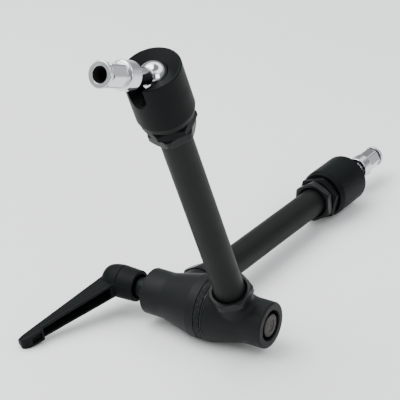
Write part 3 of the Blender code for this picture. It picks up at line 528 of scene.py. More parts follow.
def make_chrome():
    made, tree, shader, vector = finish("chrome_plate", (0.66, 0.68, 0.70), 0.07, 1.0)
    smears = place_group(tree, smear_group, (-6, 1), vector, Smears_per_Metre=110.0, Shift=0.12)
    waves = place_group(tree, grain_group, (-6, 2), vector, Grains_per_Metre=260.0,
                        Roughness_Shift=0.0)
    haze = calc(tree, "ADD", (-4, 1), smears["Shift"], CHROME_HAZE)
    feed(tree, shader, {"Roughness": calc(tree, "MAXIMUM", (-3, 1), haze, CHROME_CLEAREST)})
    bump(tree, shader, waves["Height"], 0.00005, 0.35)
    return made


chrome_plate = make_chrome()

# %% [markdown]
# Plain steel shows the lathe's rings. The bolt's head is dark and oiled, with brown patches
# where the oil has dried, the insert is blackened, and the pieces inside are bright. The studs
# get two finishes more: painted shade, a darkened chrome, in their grooves, and painted shadow,
# black, in the tapped bore, where no light reaches.


# %% Turned steel
def turned_steel(name, light, dark, roughness, rings, depth, patch_scale):
    """Metal with tool rings, mottled between two colours."""
    made, tree, shader, vector = finish(name, light, roughness, 1.0)
    marks = place_group(tree, turning_group, (-6, 2), vector, Rings_per_Metre=rings)
    patches = noise(tree, (-6, 0), Vector=vector, Scale=patch_scale, Detail=6.0, Roughness=0.65)
    contrast = node(tree, "ShaderNodeMapRange", (-4, 0),
                    {"Value": patches, "From Min": 0.38, "From Max": 0.62})
    blend_colours(tree, shader, contrast.outputs["Result"], light, dark)
    shift = calc(tree, "MULTIPLY", (-4, 1), patches, 0.15)
    feed(tree, shader, {"Roughness": calc(tree, "ADD", (-3, 1), shift, roughness)})
    bump(tree, shader, marks["Height"], depth)
    return made


# Each metal: light and dark colour, roughness, rings per metre, their depth, patches per metre.
bolt_steel = turned_steel("bolt_steel", (0.045, 0.042, 0.040), (0.022, 0.019, 0.017),
                          0.42, 2600.0, 0.00004, 420.0)
black_oxide = turned_steel("black_oxide", (0.016, 0.020, 0.020), (0.008, 0.010, 0.010),
                           0.34, 3600.0, 0.00003, 260.0)
insert_steel = turned_steel("insert_steel", (0.46, 0.46, 0.47), (0.34, 0.34, 0.35),
                            0.26, 3600.0, 0.00003, 260.0)
spring_steel = turned_steel("spring_steel", (0.38, 0.38, 0.39), (0.22, 0.21, 0.20),
                            0.30, 5200.0, 0.00002, 520.0)
plate_steel = turned_steel("plate_steel", (0.022, 0.026, 0.026), (0.009, 0.011, 0.011),
                           0.34, 2400.0, 0.00003, 300.0)
# painted shade: a darkened chrome that stands for the shade in the studs' grooves
shaded_chrome = turned_steel("shaded_chrome", (0.10, 0.10, 0.105), (0.05, 0.05, 0.052),
                             0.25, 5200.0, 0.00001, 520.0)
bore_shadow = coated("bore_shadow", (0.0012, 0.0010, 0.0008), 0.60, 2600.0, 0.00001, 0.0, 0.1)

# %% [markdown]
# The pressure pads are black acetal. Nobody sees them unless a ball is taken out, but they
# still get the faint mould texture and the polished smears of a bearing face. Every node gets
# the finish whose key ends its name, also those that a finer piece replaces further down.

# %% Acetal pads, and a finish for every node
pad_plastic = coated("pad_plastic", (0.012, 0.012, 0.012), 0.50, 1800.0, 0.00002, 0.05, 0.2)
FINISHES = {
    "housing": casting_coat, "socket": cup_coat, "nut": nut_coat, "tube": tube_coat,
    "friction_disc": friction_lining, "wear_plate": plate_steel, "handle": lever_coat,
    "ball": chrome_plate, "stud": chrome_plate, "tie_bolt": bolt_steel,
    "lever_screw": bolt_steel, "insert": black_oxide, "spring": spring_steel,
    "wedge": insert_steel, "washer": insert_steel, "rod": insert_steel, "pad": pad_plastic}
for name, thing in frame["nodes"].items():
    thing.data.materials.clear()
    thing.data.materials.append(next(look for key, look in FINISHES.items()
                                     if name.endswith(key)))
print("finished nodes:", len(frame["nodes"]))

# %% [markdown]
# Almost every piece of this arm comes off a lathe: tubes, cups, balls, studs, washers and both
# elbow halves. Even the nuts are lathe work, because a hexagon nut is a turned blank whose
# sides are milled flat until only the chamfered corners of the blank are left. So one Geometry
# Nodes tree makes them all. It lays a grid out, reads one point of an outline for each row,
# and bends the columns round the axis. Between two heights it limits the reach to the six
# flats, which leaves the curved chamfer lines that a real nut has.


# %% Tree that turns an outline
def geometry_tree(name, inputs):
    """New geometry tree with number inputs, a finish and one piece as its result."""
    tree = bpy.data.node_groups.new(name, "GeometryNodeTree")
    for label, (kind, value) in inputs.items():
        socket(tree, label, "NodeSocket" + kind, value)
    socket(tree, "Finish", "NodeSocketMaterial")
    socket(tree, "Piece", "NodeSocketGeometry", way="OUTPUT")
    return tree, node(tree, "NodeGroupInput", (0, 0)).outputs


def end_tree(tree, geometry, look, column):
    """Last nodes of a geometry tree: instances made real, and the finish set."""
    real = node(tree, "GeometryNodeRealizeInstances", (column, 0), {"Geometry": geometry})
    paint = node(tree, "GeometryNodeSetMaterial", (column + 1, 0),
                 {"Geometry": real.outputs["Geometry"], "Material": look})
    node(tree, "NodeGroupOutput", (column + 2, 0), {"Piece": paint.outputs["Geometry"]})
    return tree


def build_turned_piece():
    tree, given = geometry_tree("turned_piece", {
        "Outline": ("Geometry", None), "Sides": ("Int", 96), "Across Flats": ("Float", 0.0),
        "Corner Angle": ("Float", 0.0), "Flats From": ("Float", 1.0),
        "Flats To": ("Float", -1.0)})
    rows = node(tree, "GeometryNodeAttributeDomainSize", (1, 0),
                {"Geometry": given["Outline"]}, component="MESH").outputs["Point Count"]
    grid = node(tree, "GeometryNodeMeshGrid", (2, 0), {
        "Vertices X": calc(tree, "ADD", (1, 1), given["Sides"], 1.0), "Vertices Y": rows})
    index = node(tree, "GeometryNodeInputIndex", (2, 2)).outputs["Index"]
    share = calc(tree, "DIVIDE", (3, 2), calc(tree, "ADD", (3, 3), index, 0.5), rows)
    column = calc(tree, "FLOOR", (4, 2), share)
    row = calc(tree, "SUBTRACT", (5, 2), index, calc(tree, "MULTIPLY", (5, 3), column, rows))
    where = node(tree, "GeometryNodeInputPosition", (5, 4)).outputs["Position"]
    sample = node(tree, "GeometryNodeSampleIndex", (6, 2), {
        "Geometry": given["Outline"], "Value": where, "Index": row}, data_type="FLOAT_VECTOR")
    corner = node(tree, "ShaderNodeSeparateXYZ", (7, 2),
                  {"Vector": sample.outputs["Value"]}).outputs
    step = calc(tree, "DIVIDE", (5, 5), 2 * pi, given["Sides"])
    turn = calc(tree, "MULTIPLY", (6, 5), column, step)
    angle = calc(tree, "ADD", (7, 5), turn, given["Corner Angle"])
    from_flat = calc(tree, "SUBTRACT", (8, 6),
                     calc(tree, "MODULO", (7, 6), turn, pi / 3), pi / 6)
    flat_reach = calc(tree, "DIVIDE", (9, 6),
                      calc(tree, "MULTIPLY", (8, 7), given["Across Flats"], 0.5),
                      calc(tree, "COSINE", (8, 5), from_flat))
    above = calc(tree, "GREATER_THAN", (8, 3), corner["Z"], given["Flats From"])
    below = calc(tree, "LESS_THAN", (8, 4), corner["Z"], given["Flats To"])
    outside = calc(tree, "GREATER_THAN", (9, 4), corner["X"], flat_reach)
    milled = calc(tree, "MULTIPLY", (10, 3), calc(tree, "MULTIPLY", (9, 3), above, below),
                  outside)
    less = calc(tree, "SUBTRACT", (10, 5), flat_reach, corner["X"])
    reach = calc(tree, "ADD", (11, 2), corner["X"],
                 calc(tree, "MULTIPLY", (11, 4), less, milled))
    x, y = (calc(tree, "MULTIPLY", (12, row), reach, calc(tree, wave, (11, row + 3), angle))
            for row, wave in ((2, "COSINE"), (3, "SINE")))
    place = node(tree, "ShaderNodeCombineXYZ", (13, 2), {"X": x, "Y": y, "Z": corner["Z"]})
    bend = node(tree, "GeometryNodeSetPosition", (10, 0),
                {"Geometry": grid.outputs["Mesh"], "Position": place.outputs["Vector"]})
    close_up = node(tree, "GeometryNodeMergeByDistance", (11, 0),
                    {"Geometry": bend.outputs["Geometry"], "Distance": MERGE})
    return end_tree(tree, close_up.outputs["Geometry"], given["Finish"], 12)


MERGE = 0.001 * MM             # points closer than this are one point
turned_tree = build_turned_piece()

# %% [markdown]
# An outline is a list of corners, each with its reach from the axis, its place along the axis
# and the radius of its rounding, in millimetres. Real turned edges are never perfectly sharp:
# even a tenth of a millimetre catches a line of light, and that line tells the eye how big the
# piece is. So every corner here is broken.

# %% Round an outline's corners
ARC_STEPS = 5                 # points on each rounded corner
SUPPORT = 0.08                # strip beside a rounding, which keeps the flat's shading flat
SHARP_ANGLE = radians(28.0)   # steeper edges are shaded sharp


def rounded(corners):
    """Points (reach, place) of an outline whose corners are replaced by small arcs."""
    flat = [Vector((reach, place)) for reach, place, _ in corners]
    points = [flat[0]]
    for before, corner, after, (_, _, radius) in zip(flat, flat[1:], flat[2:], corners[1:]):
        back = before - corner
        ahead = after - corner
        spread = back.angle(ahead) / 2
        if radius == 0 or spread > radians(89.0):
            points.append(corner)
            continue
        cut = min(radius / tan(spread), 0.48 * back.length, 0.48 * ahead.length)
        radius = cut * tan(spread)
        middle = corner + (back.normalized() + ahead.normalized()).normalized() \
            * (radius / sin(spread))
        first = corner + back.normalized() * cut - middle
        last = corner + ahead.normalized() * cut - middle
        sweep = first.angle(last)
        if cut + SUPPORT < 0.49 * back.length:
            points.append(corner + back.normalized() * (cut + SUPPORT))
        for i in range(ARC_STEPS + 1):
            share = i / ARC_STEPS
            points.append(middle + (first * sin((1 - share) * sweep)
                                    + last * sin(share * sweep)) / sin(sweep))
        if cut + SUPPORT < 0.49 * ahead.length:
            points.append(corner + ahead.normalized() * (cut + SUPPORT))
    points.append(flat[-1])
    return [(point.x, point.y) for point in points]


def arc(centre, radius, start, end, steps):
    """Corners on a circle about a point of the axis; angles are from the axis."""
    return [(radius * sin(start + (end - start) * i / steps),
             centre + radius * cos(start + (end - start) * i / steps), 0.0)
            for i in range(steps + 1)]


# %% Bake a turned piece
def outward(mesh):
    """Make a closed mesh's faces point outwards, with smooth shading up to a sharp edge."""
    bm = bmesh.new()
    bm.from_mesh(mesh)
    bmesh.ops.remove_doubles(bm, verts=bm.verts, dist=MERGE)
    bmesh.ops.recalc_face_normals(bm, faces=bm.faces)
    if bm.calc_volume(signed=True) < 0:
        bmesh.ops.reverse_faces(bm, faces=bm.faces)
    bm.to_mesh(mesh)
    bm.free()
    mesh.shade_smooth()
    mesh.set_sharp_from_angle(angle=SHARP_ANGLE)


def baked(thing):
    """Plain object with the mesh that an object's modifiers make."""
    graph = bpy.context.evaluated_depsgraph_get()
    mesh = bpy.data.meshes.new_from_object(thing.evaluated_get(graph))
    if mesh.materials and mesh.materials[0] is None:   # left there by Set Material
        mesh.materials.pop(index=0)
    thing.modifiers.clear()
    thing.data = mesh
    return thing


def made_by(tree, name, mesh, matrix, values):
    """Bake a geometry tree with its named inputs on a mesh, and put the result in place."""
    thing = add_object(name, mesh)
    modifier = thing.modifiers.new(tree.name, "NODES")
    modifier.node_group = tree
    for item in tree.interface.items_tree:
        if item.in_out == "INPUT" and item.name in values:
            modifier[item.identifier] = values[item.name]
    baked(thing)
    thing.data.transform(matrix)
    outward(thing.data)
    return thing


def turned(name, corners, matrix, look, sides=96, flats=0.0, corner=0.0, span=(1000, -1000)):
    """Turned piece, in place: its outline is in mm, and flats are milled over a span."""
    mesh = bpy.data.meshes.new(name)
    points = rounded(corners)
    mesh.from_pydata([(reach * MM, 0.0, place * MM) for reach, place in points],
                     [(i, i + 1) for i in range(len(points) - 1)], [])
    return made_by(turned_tree, name, mesh, matrix, {
        "Sides": sides, "Across Flats": flats * MM, "Corner Angle": corner,
        "Flats From": span[0] * MM, "Flats To": span[1] * MM, "Finish": look})


def stands_for(piece, body, *nodes):
    """Let a finished piece ride on its body and take the place of its nodes."""
    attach(piece, body)
    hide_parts(*nodes)
    print(piece.name, "faces:", len(piece.data.polygons))


def ring_outline(bore, reach, low, high, edge):
    """Outline of a plain ring with rounded outer edges."""
    return [(bore, low, 0), (reach, low, edge), (reach, high, edge), (bore, high, 0),
            (bore, low, 0)]


# %% [markdown]
# The tubes are plain drawn aluminium tube. Their two ends hide in the housing and in the
# socket, so all that shows is a long, even cylinder. It gets more sides than the rest, because
# its outline is the longest straight highlight in the picture.

# %% Tubes
BORE_GAP = 0.05                # the bores stay clear of what runs in them
for side in SIDES:
    low, high, bore, reach = measure(side + "_tube", arms[side])
    piece = turned(side + "_tube_turned", ring_outline(bore + BORE_GAP, reach, low, high, 0.6),
                   arms[side], tube_coat, sides=128)
    stands_for(piece, side + "_arm", side + "_tube")

# %% [markdown]
# Each tube is locked at both ends by a thin hexagon nut. The face that shows is countersunk
# where the tube comes out, and the turned chamfer leaves an arc on each flat. In the picture
# these arcs and the bright lower edges are what makes the nuts read as nuts.

# %% Jam nuts
def first_corner(name, matrix, low=0.0, high=1000.0):
    """Angle of a hexagon's corner round its axis, from the farthest point between two places."""
    points = [point for point in points_of(name, matrix)
              if low - 0.01 < point.z / MM < high + 0.01]
    far = max(points, key=lambda point: point.xy.length)
    return atan2(far.y, far.x)


def hexagon_ends(reach, flats, low, high, steps=6):
    """Outline of a hexagon blank between two places, with both ends chamfered to 30 degrees."""
    face = flats / 2 - NUT_FACE
    depth = (reach - face) * tan(radians(30))
    ends = [[(face + (reach - face) * i / steps, place - way * depth * i / steps, 0)
             for i in range(steps + 1)] for place, way in ((low, -1), (high, 1))]
    return ends[0] + ends[1][::-1]


NUT_FACE = 0.2                 # the chamfer starts this far inside the flats
NUT_FLATS = 27.0
NUT_HOLE = 10.3
NUT_COUNTERSINK = 1.5
for side in SIDES:
    for name in (side + "_elbow_nut", side + "_head_nut"):
        low, high, _, reach = measure(name, arms[side])
        wide = NUT_HOLE + NUT_COUNTERSINK
        hole = [(wide, high, 0.15), (NUT_HOLE, high - NUT_COUNTERSINK, 0.2),
                (NUT_HOLE, low + NUT_COUNTERSINK, 0.2), (wide, low, 0.15)]
        corners = hole[-1:] + hexagon_ends(reach, NUT_FLATS, low, high) + hole
        piece = turned(name + "_milled", corners, arms[side], nut_coat, flats=NUT_FLATS,
                       corner=first_corner(name, arms[side]), span=(0, 1000))
        stands_for(piece, side + "_arm", name)

# %% [markdown]
# The elbow's halves are turned castings: a rim, a cone and a straight end whose outer edge is
# well rounded. A boss stands on each for the tube. On a casting two surfaces never meet in a
# hard inner corner, so the boss has a skirt that runs out on the body in a hollow curve. It is
# skinned from rings whose height follows the body, joined to it with a Boolean, and then the
# bore for the bolt and the seat for the tube are cut.


# %% Skin between rings, and Booleans
def skinned(name, rings, matrix, look, closed=False):
    """Join rings of equally many points into one closed mesh, in place."""
    bm = bmesh.new()
    loops = [[bm.verts.new(Vector(point) * MM) for point in ring] for ring in rings]
    pairs = list(zip(loops, loops[1:]))
    if closed:
        pairs.append((loops[-1], loops[0]))
    else:
        bm.faces.new(loops[0])
        bm.faces.new(loops[-1])
    for lower, upper in pairs:
        for i in range(len(lower)):
            j = (i + 1) % len(lower)
            bm.faces.new((lower[i], lower[j], upper[j], upper[i]))
    mesh = bpy.data.meshes.new(name)
    bm.to_mesh(mesh)
    bm.free()
    mesh.materials.append(look)
    thing = bpy.data.objects.new(name, mesh)
    bpy.context.scene.collection.objects.link(thing)
    mesh.transform(matrix)
    outward(mesh)
    return thing


def carved(piece, tool, operation="DIFFERENCE"):
    """Cut a piece with a tool, or join the tool to it, and throw the tool away."""
    step = piece.modifiers.new("carve", "BOOLEAN")
    step.operation = operation
    step.solver = "EXACT"
    step.object = tool
    baked(piece)
    bpy.data.objects.remove(tool, do_unlink=True)
    outward(piece.data)
    return piece


# %% Housings
TUBE_OFFSET = (arms["front"].translation - arms["rear"].translation).x / MM / 2
END_LENGTH = 15.0
END_RADIUS = 15.6
END_ROUND = 1.5
RIM_LENGTHS = {"rear": 6.2, "front": 0.6}
RIM_ROUND = {"rear": 0.12, "front": 0.7}
CONE_ROUND = 22.0
BOSS_RADIUS = 12.8
BOSS_EDGE = 0.4
BOSS_GAP = 0.3                 # the nut stands this far above the boss
BOSS_FILLET = 3.4              # on the side towards the end of the elbow
FILLET_LEAST = 0.12            # share of it that is left on the other sides
FILLET_RISE = 0.75             # it takes up at most this share of the boss's height
BOLT_BORE = 10.3
SPRING_BORE = 7.8
BORE_STEP = 13.0
BORE_CHAMFER = 1.5
TUBE_FOOT = 13.0
ROD_HOLE = 4.4
RING_POINTS = 96
PAST = 2.0                     # a cutting tool reaches this far past the piece


def height_on(outline, x, y):
    """Height of a turned body over a point, when the body lies along X."""
    for (r0, p0), (r1, p1) in zip(outline, outline[1:]):
        if p0 <= x <= p1 and p1 > p0:
            reach = r0 + (r1 - r0) * (x - p0) / (p1 - p0)
            return sqrt(max(reach ** 2 - y ** 2, 0.0))
    return 0.0


def boss_with_skirt(name, outline, top, matrix, look):
    """Upright boss whose foot runs out on the body in a hollow curve."""
    steps = 8
    levels = [-1] + list(range(steps + 1))   # the first ring is sunk in the body
    rings = [[] for _ in range(len(levels) + 3)]
    for i in range(RING_POINTS):
        angle = 2 * pi * (i + 0.5) / RING_POINTS
        c, s = cos(angle), sin(angle)
        foot = height_on(outline, BOSS_RADIUS * c, BOSS_RADIUS * s)
        wish = BOSS_FILLET * (FILLET_LEAST + (1 - FILLET_LEAST) * max(c, 0.0))
        fillet = max(min(wish, (top - foot) * FILLET_RISE), 0.2)
        wide = BOSS_RADIUS + fillet
        rings[0].append((wide * c, wide * s, 0.0))
        for ring, level in zip(rings[1:], levels):
            bend = pi / 2 * (1 - max(level, 0) / steps)
            reach = BOSS_RADIUS + fillet * (1 - cos(bend))
            body = height_on(outline, reach * c, reach * s)
            sunk = 1.0 if level < 0 else 0.0
            ring.append((reach * c, reach * s, body + fillet * (1 - sin(bend)) - sunk))
        for ring, inset in ((rings[-2], 0.0), (rings[-1], BOSS_EDGE)):
            reach = BOSS_RADIUS - inset
            ring.append((reach * c, reach * s, top - BOSS_EDGE + inset))
    return skinned(name, rings, matrix, look)


for side in SIDES:
    name = side + "_housing"
    lying = arms[side] @ LIE_ALONG_X
    inner, outer, _, _ = measure(name, arms[side], "X")
    low, high, _, _ = measure(side + "_elbow_nut", arms[side])
    rim = elbow_middle.z / MM
    corners = [(0, inner, 0), (rim, inner, RIM_ROUND[side]),
               (rim, inner + RIM_LENGTHS[side], 1.0),
               (END_RADIUS, outer - END_LENGTH, CONE_ROUND), (END_RADIUS, outer, END_ROUND),
               (0, outer, 0)]
    piece = turned(name + "_cast", corners, lying, casting_coat, sides=144)
    boss = boss_with_skirt("boss", rounded(corners), low - BOSS_GAP, arms[side], casting_coat)
    carved(piece, boss, "UNION")
    step = BORE_STEP - TUBE_OFFSET
    mouth = BOLT_BORE + BORE_CHAMFER
    corners = [(0, inner - PAST, 0), (SPRING_BORE, inner - PAST, 0), (SPRING_BORE, step, 0),
               (BOLT_BORE, step, 0), (BOLT_BORE, outer - 0.5, 0), (mouth, outer + 1.0, 0),
               (mouth, outer + PAST, 0), (0, outer + PAST, 0)]
    carved(piece, turned("bore", corners, lying, casting_coat))
    corners = [(0, 0, 0), (ROD_HOLE, 0, 0), (ROD_HOLE, TUBE_FOOT, 0), (NUT_HOLE, TUBE_FOOT, 0),
               (NUT_HOLE, low + PAST, 0), (0, low + PAST, 0)]
    carved(piece, turned("seat", corners, arms[side], casting_coat, sides=90,
                         corner=radians(1.3)))   # turned a little, so that no edges coincide
    stands_for(piece, side + "_arm", name)

# %% [markdown]
# Between the halves sit the friction disc and its steel wear plate. On the real elbow they are
# what holds: when the lever is turned, the bolt draws both halves against the disc. They are
# two plain rings, a hair smaller than the rim, so that the joint reads as a shallow groove
# with a thin dark line beside it.

# %% Friction disc and wear plate
elbow_lying = Matrix.Translation(elbow_middle) @ LIE_ALONG_X
for name, body, look in (("friction_disc", "rear_arm", friction_lining),
                         ("wear_plate", "front_arm", plate_steel)):
    low, high, _, reach = measure(name, elbow_lying)
    corners = ring_outline(SPRING_BORE, reach, low, high, 0.25)
    stands_for(turned(name + "_ring", corners, elbow_lying, look, sides=128), body, name)

# %% [markdown]
# The bolt's round head sits in the recess of the open end. It was parted off on a lathe, so
# its face is not flat: it has a broken edge, a faint step and a shallow dimple in the middle.

# %% Tie bolt
low, high, _, reach = measure("tie_bolt", elbow_lying)
BOLT_SHANK = 5.0
HEAD_LENGTH = 8.3
head_start = high - HEAD_LENGTH
corners = [(0, low, 0), (BOLT_SHANK, low, 0.6), (BOLT_SHANK, head_start, 0.2),
           (reach, head_start, 0.3), (reach, high, 0.7), (0.55 * reach, high, 0.1),
           (0.52 * reach, high - 0.25, 0.1), (0.12 * reach, high - 0.25, 0.1),
           (0, high - 0.6, 0)]
stands_for(turned("tie_bolt_turned", corners, elbow_lying, bolt_steel), "front_arm", "tie_bolt")

# %% [markdown]
# The balls and studs are chromed. Chrome shows every flat spot in its reflections, so the ball
# is a true sphere of many rings, and the stud's collar, hexagon and ring have the small
# rounded edges that polishing leaves. The tapped bore is drawn as what the eye sees of it:
# a countersink and rings of thread, painted black, because no light comes back out of it.

# %% Balls
BALL_RADIUS = 9.5
NECK_RADIUS = 5.0
TENON_RADIUS = 4.0             # the end of the neck, which sits in the stud
TENON_LENGTH = 7.0
for side in SIDES:
    low, high, _, _ = measure(side + "_ball", heads[side])
    neck_angle = asin(NECK_RADIUS / BALL_RADIUS)
    neck = BALL_RADIUS * cos(neck_angle)
    shoulder = high - TENON_LENGTH
    corners = arc(0, BALL_RADIUS, pi, neck_angle + 0.04, 56) + [
        (NECK_RADIUS + 0.1, neck + 0.25, 0.8), (NECK_RADIUS, neck + 1.2, 0.5),
        (NECK_RADIUS, shoulder, 0.4), (TENON_RADIUS, shoulder, 0), (TENON_RADIUS, high, 0.4),
        (0, high, 0)]
    piece = turned(side + "_ball_polished", corners, heads[side], chrome_plate, sides=112)
    stands_for(piece, side + "_ball", side + "_ball")

# %% Studs
STUD_FLATS = 13.4
COLLAR_RADIUS = 8.7
GROOVE_RADIUS = 6.1
RING_RADIUS = 7.84
STUD_CORNER = 7.5
STUD_SOCKET = 4.3              # hole for the ball's tenon
STUD_SOCKET_DEPTH = 7.3
COLLAR_LENGTH = 9.4
HEXAGON_START = 10.6           # above the collar's lower face
HEXAGON_END = 3.8              # below the ring's face
RING_LENGTH = 2.2
STUD_BORE = 4.4
THREAD_PITCH = 1.0
THREAD_DEPTH = 0.45
BORE_DEPTH = 14.0
for side in SIDES:
    low, high, _, _ = measure(side + "_stud", heads[side])
    hexagon_low, hexagon_high = low + HEXAGON_START, high - HEXAGON_END
    ring_low = high - RING_LENGTH
    thread = []
    for i in range(int((BORE_DEPTH - 1.5) / THREAD_PITCH)):
        place = high - 0.7 - i * THREAD_PITCH
        thread += [(STUD_BORE, place, 0.1),
                   (STUD_BORE - THREAD_DEPTH, place - THREAD_PITCH / 2, 0.1)]
    corners = ([(STUD_SOCKET, low, 0.1), (COLLAR_RADIUS, low, 0.6),
                (COLLAR_RADIUS, low + COLLAR_LENGTH, 1.1), (GROOVE_RADIUS, low + 10.1, 0.5),
                (GROOVE_RADIUS, hexagon_low, 0.2)]
               + hexagon_ends(STUD_CORNER, STUD_FLATS, hexagon_low, hexagon_high)
               + [(GROOVE_RADIUS, hexagon_high, 0.2), (GROOVE_RADIUS, ring_low, 0.3),
                  (RING_RADIUS, ring_low, 0.45), (RING_RADIUS, high, 0.5),
                  (STUD_BORE + 0.7, high, 0.12)]
               + thread
               + [(STUD_BORE - THREAD_DEPTH, high - BORE_DEPTH, 0),
                  (0, high - BORE_DEPTH - 1.2, 0), (0, low + STUD_SOCKET_DEPTH, 0),
                  (STUD_SOCKET, low + STUD_SOCKET_DEPTH, 0), (STUD_SOCKET, low, 0.1)])
    piece = turned(side + "_stud_chromed", corners, heads[side], chrome_plate,
                   flats=STUD_FLATS, span=(low + 10.0, high - 3.0))
    piece.data.materials.append(bore_shadow)
    piece.data.materials.append(shaded_chrome)
    inverse = heads[side].inverted()
    for polygon in piece.data.polygons:
        middle = inverse @ polygon.center
        place = middle.z / MM
        reach = middle.xy.length / MM
        if reach < STUD_BORE + 0.35 and place < high - 0.2:
            polygon.material_index = 1
        # painted shade: the faces in the grooves get the darkened chrome
        elif reach < GROOVE_RADIUS + 0.25 and low + 9.9 < place < high - 1.0:
            polygon.material_index = 2
    stands_for(piece, side + "_stud", side + "_stud")

# %% [markdown]
# A ball socket is a cup with a dished mouth. Inside, the mouth is a little narrower than the
# ball, which keeps the ball in. A slot cut down one side lets the neck swing out square to the
# tube. Below the cup a short taper runs down to a deep groove and a hexagon flange. The turned
# body comes from the lathe tree, and the slot from two Boolean cuts: a straight one, and a
# flared one that leaves the chamfer round its edge.

# %% Ball sockets
CUP_RADIUS = 17.85
CUP_DROP = 3.2                 # these drops are below the seat in the cup
BAND_RADIUS = 16.5             # lower end of the taper
BAND_DROP = 7.6
UNDERCUT_RADIUS = 13.2
FLANGE_TOP_DROP = 9.4
FLANGE_DROP = 15.2
FLANGE_FLATS = 29.0
FLANGE_CORNER = 16.75
SPIGOT_RADIUS = 12.0
DISH_RADIUS = 16.7
BALL_BORE = BALL_RADIUS + 0.3
MOUTH_RADIUS = 9.2
SLOT_WIDTH = 12.6
SLOT_CHAMFER = 1.2
SLOT_TURN = radians(6.5)
SLOT_RISE = 14.8               # bottom of the slot above the tube's seat
CUP_RISE = 29.1
BALL_RISE = 22.9


def slot_ring(seat, grow, reach, steps=40):
    """Upright slot with a round bottom, grown all round, at a reach from the tube's axis."""
    half = SLOT_WIDTH / 2
    centre = seat + SLOT_RISE + half
    top = seat + CUP_RISE + 3.0
    flat = [(half + grow, top), (-half - grow, top)]
    for i in range(steps + 1):
        angle = pi + pi * i / steps
        flat.append(((half + grow) * cos(angle), centre + (half + grow) * sin(angle)))
    out = Vector((-sin(SLOT_TURN), -cos(SLOT_TURN), 0))
    across = Vector((cos(SLOT_TURN), -sin(SLOT_TURN), 0))
    return [out * reach + across * x + Vector((0, 0, z)) for x, z in flat]


for side in SIDES:
    name = side + "_socket"
    low, high, _, _ = measure(name, arms[side])
    seat = high - CUP_RISE
    ball_place = seat + BALL_RISE
    mouth_angle = asin(MOUTH_RADIUS / BALL_BORE)
    flange_low, flange_high = seat - FLANGE_DROP, seat - FLANGE_TOP_DROP
    band_low = seat - BAND_DROP
    corners = ([(NUT_HOLE, low, 0), (SPIGOT_RADIUS, low, 0.3), (SPIGOT_RADIUS, flange_low, 0)]
               + hexagon_ends(FLANGE_CORNER, FLANGE_FLATS, flange_low, flange_high)
               + [(UNDERCUT_RADIUS, flange_high, 0.3), (UNDERCUT_RADIUS, band_low, 0.3),
                  (BAND_RADIUS, band_low, 0.35), (CUP_RADIUS, seat - CUP_DROP, 1.2),
                  (CUP_RADIUS - 0.03, high, 1.3), (DISH_RADIUS - 0.2, high, 0.5),
                  (MOUTH_RADIUS, ball_place + BALL_BORE * cos(mouth_angle), 0.15)]
               + arc(ball_place, BALL_BORE, mouth_angle + 0.05, pi / 2, 16)
               + [(BALL_BORE, seat, 0), (NUT_HOLE, seat, 0), (NUT_HOLE, low, 0)])
    piece = turned(name + "_cast", corners, arms[side], cup_coat, sides=144,
                   flats=FLANGE_FLATS, corner=first_corner(name, arms[side], flange_low,
                                                           flange_high),
                   span=(flange_low - 0.1, flange_high + 0.05))
    for name, reach, grow in (("slot", 0.0, 0.0),
                              ("flare", CUP_RADIUS - SLOT_CHAMFER, SLOT_CHAMFER + PAST)):
        rings = [slot_ring(seat, 0.0, reach), slot_ring(seat, grow, CUP_RADIUS + PAST)]
        carved(piece, skinned(name, rings, arms[side], cup_coat))
    stands_for(piece, side + "_arm", side + "_socket")

# %% [markdown]
# The lever is die-cast. Nothing on a die casting is sharp, because the metal has to flow and
# the part has to leave the mould: walls taper, and every edge and inner corner is rounded. The
# easiest way to such a shape is to skin and cut it roughly, then remesh the whole at a fine
# voxel size and smooth it, which rounds every edge by about the same amount. The dome is a
# separate cap on the hub, with a fine line where the two meet.

# %% Lever handle
VOXEL = 0.34 * MM
SMOOTH_ROUNDS = 5
HANDLE_ROOT = 65.3             # where the handle's underside meets the hub's axis
HUB_START = 55.6
HUB_SEAM = 69.0
HUB_END = 82.0
HUB_RADIUS = 10.7             # at the mouth
HUB_SEAM_RADIUS = 11.3
SEAM_GAP = 0.15                # on each side of the seam
HUB_DOME_RADIUS = 6.6
LEVER_LEAN = radians(20.9)
HANDLE_LENGTH = 86.02
WIDTHS = (11.3, 8.4)
HEIGHTS = (16.5, 5.0)
CROWN = 1.0
TIP_START = 69.0
TIP_END = 78.4
CHANNEL_START = 14.2
SCREW_HOLE = 2.3
lever_hub = Matrix.Translation(-elbow_axis * HANDLE_ROOT * MM) @ lever
lever_lying = lever_hub @ LIE_ALONG_X
hub_to_lean = Vector((sin(LEVER_LEAN), 0, cos(LEVER_LEAN)))
lean_up = Vector((cos(LEVER_LEAN), 0, -sin(LEVER_LEAN)))


def station(distance):
    """Width and height of the handle at a distance from the hub's axis."""
    share = distance / HANDLE_LENGTH
    return [start + (end - start) * share for start, end in (WIDTHS, HEIGHTS)]


def grip_ring(distance, low, side_draw=0.0, back_draw=0.0, steps=8):
    """Section of the handle: lipped underside, drafted sides, crowned back."""
    width, height = station(distance)
    half = width / 2 - side_draw
    top = height - back_draw
    draft = min(1.0, half / 3)
    lip = min(1.4, (top - low) / 4)
    right = [(half, low), (half, low + lip), (half - draft / 2, low + lip + draft / 2)]
    for i in range(steps):
        angle = pi / 2 * i / steps
        right.append(((half - draft) * cos(angle), top - CROWN * (1 - sin(angle))))
    flat = right + [(0, top)] + [(-x, z) for x, z in reversed(right)]
    return [hub_to_lean * distance + Vector((0, x, 0)) + lean_up * z for x, z in flat]


def cut_ring(distance, inset, low, top):
    """Section of a drafted cut into the underside."""
    half = station(distance)[0] / 2 - inset
    flat = [(half, low), (-half, low), (-half + 0.7, top), (half - 0.7, top)]
    return [hub_to_lean * distance + Vector((0, x, 0)) + lean_up * z for x, z in flat]


